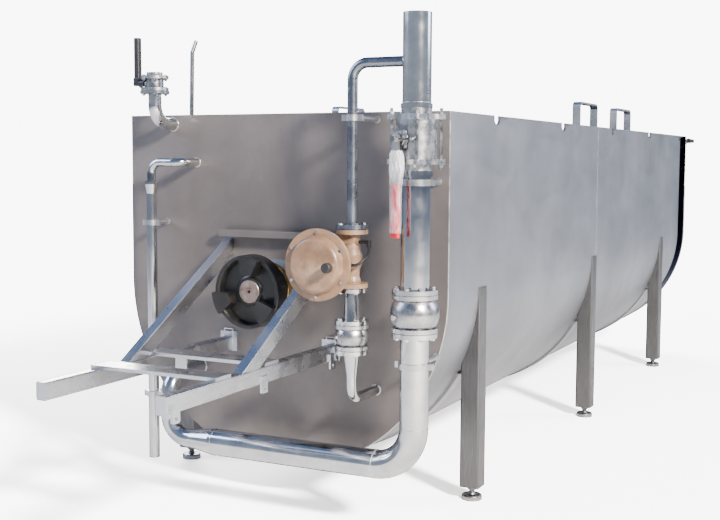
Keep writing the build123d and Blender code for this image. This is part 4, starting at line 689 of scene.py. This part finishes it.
# %% Film finish
film_finish, tree, shader = start("crumpled_packing_film", "#eef0f4", 0.0, 0.16)
folds = cloud(tree, place(tree, (1, 1, 0.45)), 9, detail=6, rough=0.62, spread=1.4)
# The colour follows the same noise as the folds' relief, so the bluish grey in the hollows is painted shade
# in the creases.
join(tree, tint(tree, folds, [(0.3, "#c9cedd"), (0.5, "#eceef3"), (0.7, "#ffffff")]), shader, "Base Color")
streaks = cloud(tree, place(tree, (1, 1, 0.16)), 11, detail=4, rough=0.55)
thin = between(tree, streaks, 0.06, 0.38, 0.4, 0.66)
level = add(tree, "ShaderNodeSeparateXYZ", links={"Vector": place(tree)}).outputs["Z"]
bunched = between(tree, level, 0.0, 0.4, film_high.z - 0.075, film_high.z - 0.02)
thickness = add(tree, "ShaderNodeMath", {"operation": "ADD"}, links={0: thin, 1: bunched})
join(tree, thickness.outputs[0], shader, "Alpha")
shader.inputs["Coat Weight"].default_value = 0.8
relief(tree, shader, folds, 1.2, 0.6)
finishes[film_finish.name] = film_finish
film_mesh.materials.append(film_finish)
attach(film, "ball_valve_handle")
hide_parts("lever_film")

# %% [markdown]
# ## Impulse hose
# A short rubber hose joins the regulator's two small fittings. It is one smooth curve whose control
# points are the route that it was drawn with.

# %% Lay the hose
HOSE_DIAMETER, HOSE_LENGTH = 0.010, 0.1254
HOSE_ROUTE = [
    (0.466, -0.283, 1.001),
    (0.492, -0.283, 1.001),
    (0.510, -0.267, 1.021),
    (0.508, -0.222, 1.035),
    (0.508, -0.222, 1.063),
]
hose_curve = bpy.data.curves.new("rubber_impulse_hose", "CURVE")
hose_curve.dimensions = "3D"
hose_curve.bevel_depth = HOSE_DIAMETER / 2
hose_curve.bevel_resolution = 5
hose_curve.resolution_u = 16
hose_line = hose_curve.splines.new("NURBS")
hose_line.points.add(len(HOSE_ROUTE) - 1)
for point, (x, y, z) in zip(hose_line.points, HOSE_ROUTE):
    point.co = (x, FRONT_Y + y, z, 1)
hose_line.order_u = 3
hose_line.use_endpoint_u = True
hose = stand("rubber_impulse_hose", hose_curve)
hose_curve.materials.append(rubber_finish)
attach(hose, "vat")
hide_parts("impulse_hose")
print("hose of", len(HOSE_ROUTE), "points")

# %% [markdown]
# ## Weld beads
# Every joint of a vat like this is TIG welded, which leaves a low bead of overlapping ripples. A bead
# is a thin rod along the joint whose thickness swells at each ripple. The beads are one mesh, since
# they all belong to the welded body.

# %% A rippled bead along a line
weld_build = bmesh.new()
BEAD_SIDES = 7
RIPPLE = 0.0045


def bead(path, radius, closed=False):
    """Adds a rippled rod along a line of points, and returns its length."""
    runs = list(zip(path, path[1:] + path[:1] if closed else path[1:]))
    total = sum((b - a).length for a, b in runs)
    count = max(8, round(total / (RIPPLE / 2)))
    count += count % 2
    spots, walked, run = [], 0.0, 0
    for i in range(count if closed else count + 1):
        target = total * i / count
        while run < len(runs) - 1 and walked + (runs[run][1] - runs[run][0]).length < target:
            walked += (runs[run][1] - runs[run][0]).length
            run += 1
        a, b = runs[run]
        spots.append(a.lerp(b, min((target - walked) / max((b - a).length, 1e-9), 1)))
    rings = []
    for i, spot in enumerate(spots):
        before = spots[i - 1] if closed or i else spot
        after = spots[(i + 1) % len(spots)] if closed or i < len(spots) - 1 else spot
        ahead = (after - before).normalized()
        side = ahead.cross(Vector((0.31, 0.22, 0.92))).normalized()
        over = ahead.cross(side)
        swell = radius * (1.18 if i % 2 else 0.84)
        angles = [2 * math.pi * k / BEAD_SIDES for k in range(BEAD_SIDES)]
        edge = [spot + side * (math.cos(t) * swell) + over * (math.sin(t) * swell) for t in angles]
        rings.append([weld_build.verts.new(corner) for corner in edge])
    for first, second in zip(rings, rings[1:] + rings[:1] if closed else rings[1:]):
        for k in range(BEAD_SIDES):
            j = (k + 1) % BEAD_SIDES
            weld_build.faces.new((first[k], first[j], second[j], second[k]))
    if not closed:
        weld_build.faces.new(rings[0])
        weld_build.faces.new(rings[-1])
    return total


def circle(centre, first, second, radius, count=48):
    """Points on a circle that lies in the plane of two directions."""
    angles = [2 * math.pi * k / count for k in range(count)]
    return [centre + first * (math.cos(t) * radius) + second * (math.sin(t) * radius) for t in angles]


# %% Beads round the plates, at the pipe entries and on the pipe joints
EAST, NORTH, UP = Vector((1, 0, 0)), Vector((0, 1, 0)), Vector((0, 0, 1))
ARC_STEPS = 48
PLATE_BEAD, SEAM_BEAD, ENTRY_BEAD, PIPE_BEAD, RAIL_BEAD = 0.0022, 0.0007, 0.0024, 0.0013, 0.0026
SEAM_FROM_PLATE, SEAM_DROP = 2.10, 0.01


def u_line(y, top):
    """The outline of the vat's section at a place along it, from rim to rim."""
    turns = [math.pi * step / ARC_STEPS for step in range(ARC_STEPS + 1)]
    arc = [Vector((HALF_WIDTH * math.cos(t), y, AXIS_Z - HALF_WIDTH * math.sin(t))) for t in turns]
    return [Vector((HALF_WIDTH, y, top)), *arc, Vector((-HALF_WIDTH, y, top))]


END_WALL = plate_high.y - plate_low.y
length = 0.0
for y in (FRONT_Y + END_WALL, REAR_Y - END_WALL):
    length += bead(u_line(y, RIM_Z), PLATE_BEAD)
length += bead(u_line(FRONT_Y + SEAM_FROM_PLATE, RIM_Z - SEAM_DROP), SEAM_BEAD)

# (x, height, pipe radius) of each pipe that goes through the front plate
ENTRIES = [
    (-0.513, RIM_Z - 0.039, 0.0265),
    (-0.395, RIM_Z - 0.195, 0.0175),
    (-0.390, AXIS_Z - 0.357, 0.035),
    (0.432, AXIS_Z - 0.380, 0.019),
]
for x, z, radius in ENTRIES:
    length += bead(circle(Vector((x, FRONT_Y, z)), EAST, UP, radius + 0.001), ENTRY_BEAD, closed=True)

MAIN_RADIUS, MAIN_BEND = 0.052, 0.150
main_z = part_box("return_pipe")[0].z + MAIN_RADIUS
for z in (main_z + MAIN_BEND, RIM_Z + 0.02):
    length += bead(circle(Vector((riser_x, riser_y, z)), EAST, NORTH, MAIN_RADIUS), PIPE_BEAD, closed=True)
bend_end = Vector((riser_x - MAIN_BEND, riser_y, main_z))
length += bead(circle(bend_end, NORTH, UP, MAIN_RADIUS), PIPE_BEAD, closed=True)
reducer = Vector((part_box("return_pipe")[0].x, riser_y, main_z))
length += bead(circle(reducer, NORTH, UP, MAIN_RADIUS), PIPE_BEAD, closed=True)

RAIL_HALF_WIDTH, RAIL_HEIGHT, RAIL_DROP, PAD_THICK = 0.020, 0.060, 0.218, 0.008
for name in ("rail_left", "rail_right"):
    low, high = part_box(name)
    middle_x = (low.x + high.x) / 2
    y = FRONT_Y - PAD_THICK
    corners = [(-1, 0), (1, 0), (1, 1), (-1, 1)]
    rail_top = AXIS_Z - RAIL_DROP + RAIL_HEIGHT / 2
    rail_bottom = rail_top - RAIL_HEIGHT
    path = [
        Vector((middle_x + sx * RAIL_HALF_WIDTH, y, rail_top if up else rail_bottom)) for sx, up in corners
    ]
    length += bead(path, RAIL_BEAD, closed=True)

weld_mesh = bpy.data.meshes.new("weld_beads")
bmesh.ops.recalc_face_normals(weld_build, faces=weld_build.faces)
weld_build.to_mesh(weld_mesh)
weld_build.free()
weld_mesh.shade_smooth()
welds = stand("weld_beads", weld_mesh)
weld_finish = blasted("tig_weld_bead", ["#a8a39c", "#c2bfbb", "#d8d7d5"], 0.3, 3)
finishes[weld_finish.name] = weld_finish
weld_mesh.materials.append(weld_finish)
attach(welds, "vat")
print("welds:", round(length, 2), "m,", len(weld_mesh.polygons), "faces")

# %% [markdown]
# ## Stop pin
# A short pin with a rounded head stands out of the ball valve's hub and stops the lever at a quarter
# turn. It is turned from a profile: pairs of a distance along the pin and a radius.

# %% Turn the stop pin
PIN_PROFILE = [(0, 4.2), (3, 4.2), (4, 3.2), (58, 3.2), (60, 4.4), (63, 5.8), (68, 6.2), (72, 5), (74.5, 2.4)]
PIN_SIDES = 20
stem_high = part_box("valve_lever")[1]
pin_start = Vector((stem_high.x - 0.006, film_axis.y - 0.004, stem_high.z - 0.022))
pin_build = bmesh.new()
rings = []
for along, radius in PIN_PROFILE:
    centre = pin_start + across * (along * MM)
    spots = circle(centre, outward, UP, radius * MM, PIN_SIDES)
    rings.append([pin_build.verts.new(spot) for spot in spots])
for first, second in zip(rings, rings[1:]):
    for k in range(PIN_SIDES):
        j = (k + 1) % PIN_SIDES
        pin_build.faces.new((first[k], first[j], second[j], second[k]))
pin_build.faces.new(rings[0])
pin_build.faces.new(rings[-1])
bmesh.ops.recalc_face_normals(pin_build, faces=pin_build.faces)
pin_mesh = bpy.data.meshes.new("lever_stop_pin")
pin_build.to_mesh(pin_mesh)
pin_build.free()
pin_mesh.shade_smooth()
pin = stand("lever_stop_pin", pin_mesh)
pin_mesh.materials.append(feet_finish)
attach(pin, "ball_valve_handle")
print("stop pin at", [round(v, 3) for v in pin_start])

# %% [markdown]
# ## Smooth edges
# CAD parts come as flat facets. Shading by angle makes round parts look round and keeps the real
# edges, and it changes no shape.

# %% Shade by angle
EDGE_ANGLE = math.radians(28)
for name, part in nodes.items():
    part.data.shade_smooth()
    build = bmesh.new()
    build.from_mesh(part.data)
    sharp = [e for e in build.edges if len(e.link_faces) == 2 and e.calc_face_angle(0) > EDGE_ANGLE]
    hard = {e.index for e in sharp}
    build.free()
    flags = [i in hard for i in range(len(part.data.edges))]
    attributes = part.data.attributes
    attribute = attributes.get("sharp_edge") or attributes.new("sharp_edge", "BOOLEAN", "EDGE")
    attribute.data.foreach_set("value", flags)
print("shaded", len(nodes), "CAD parts")
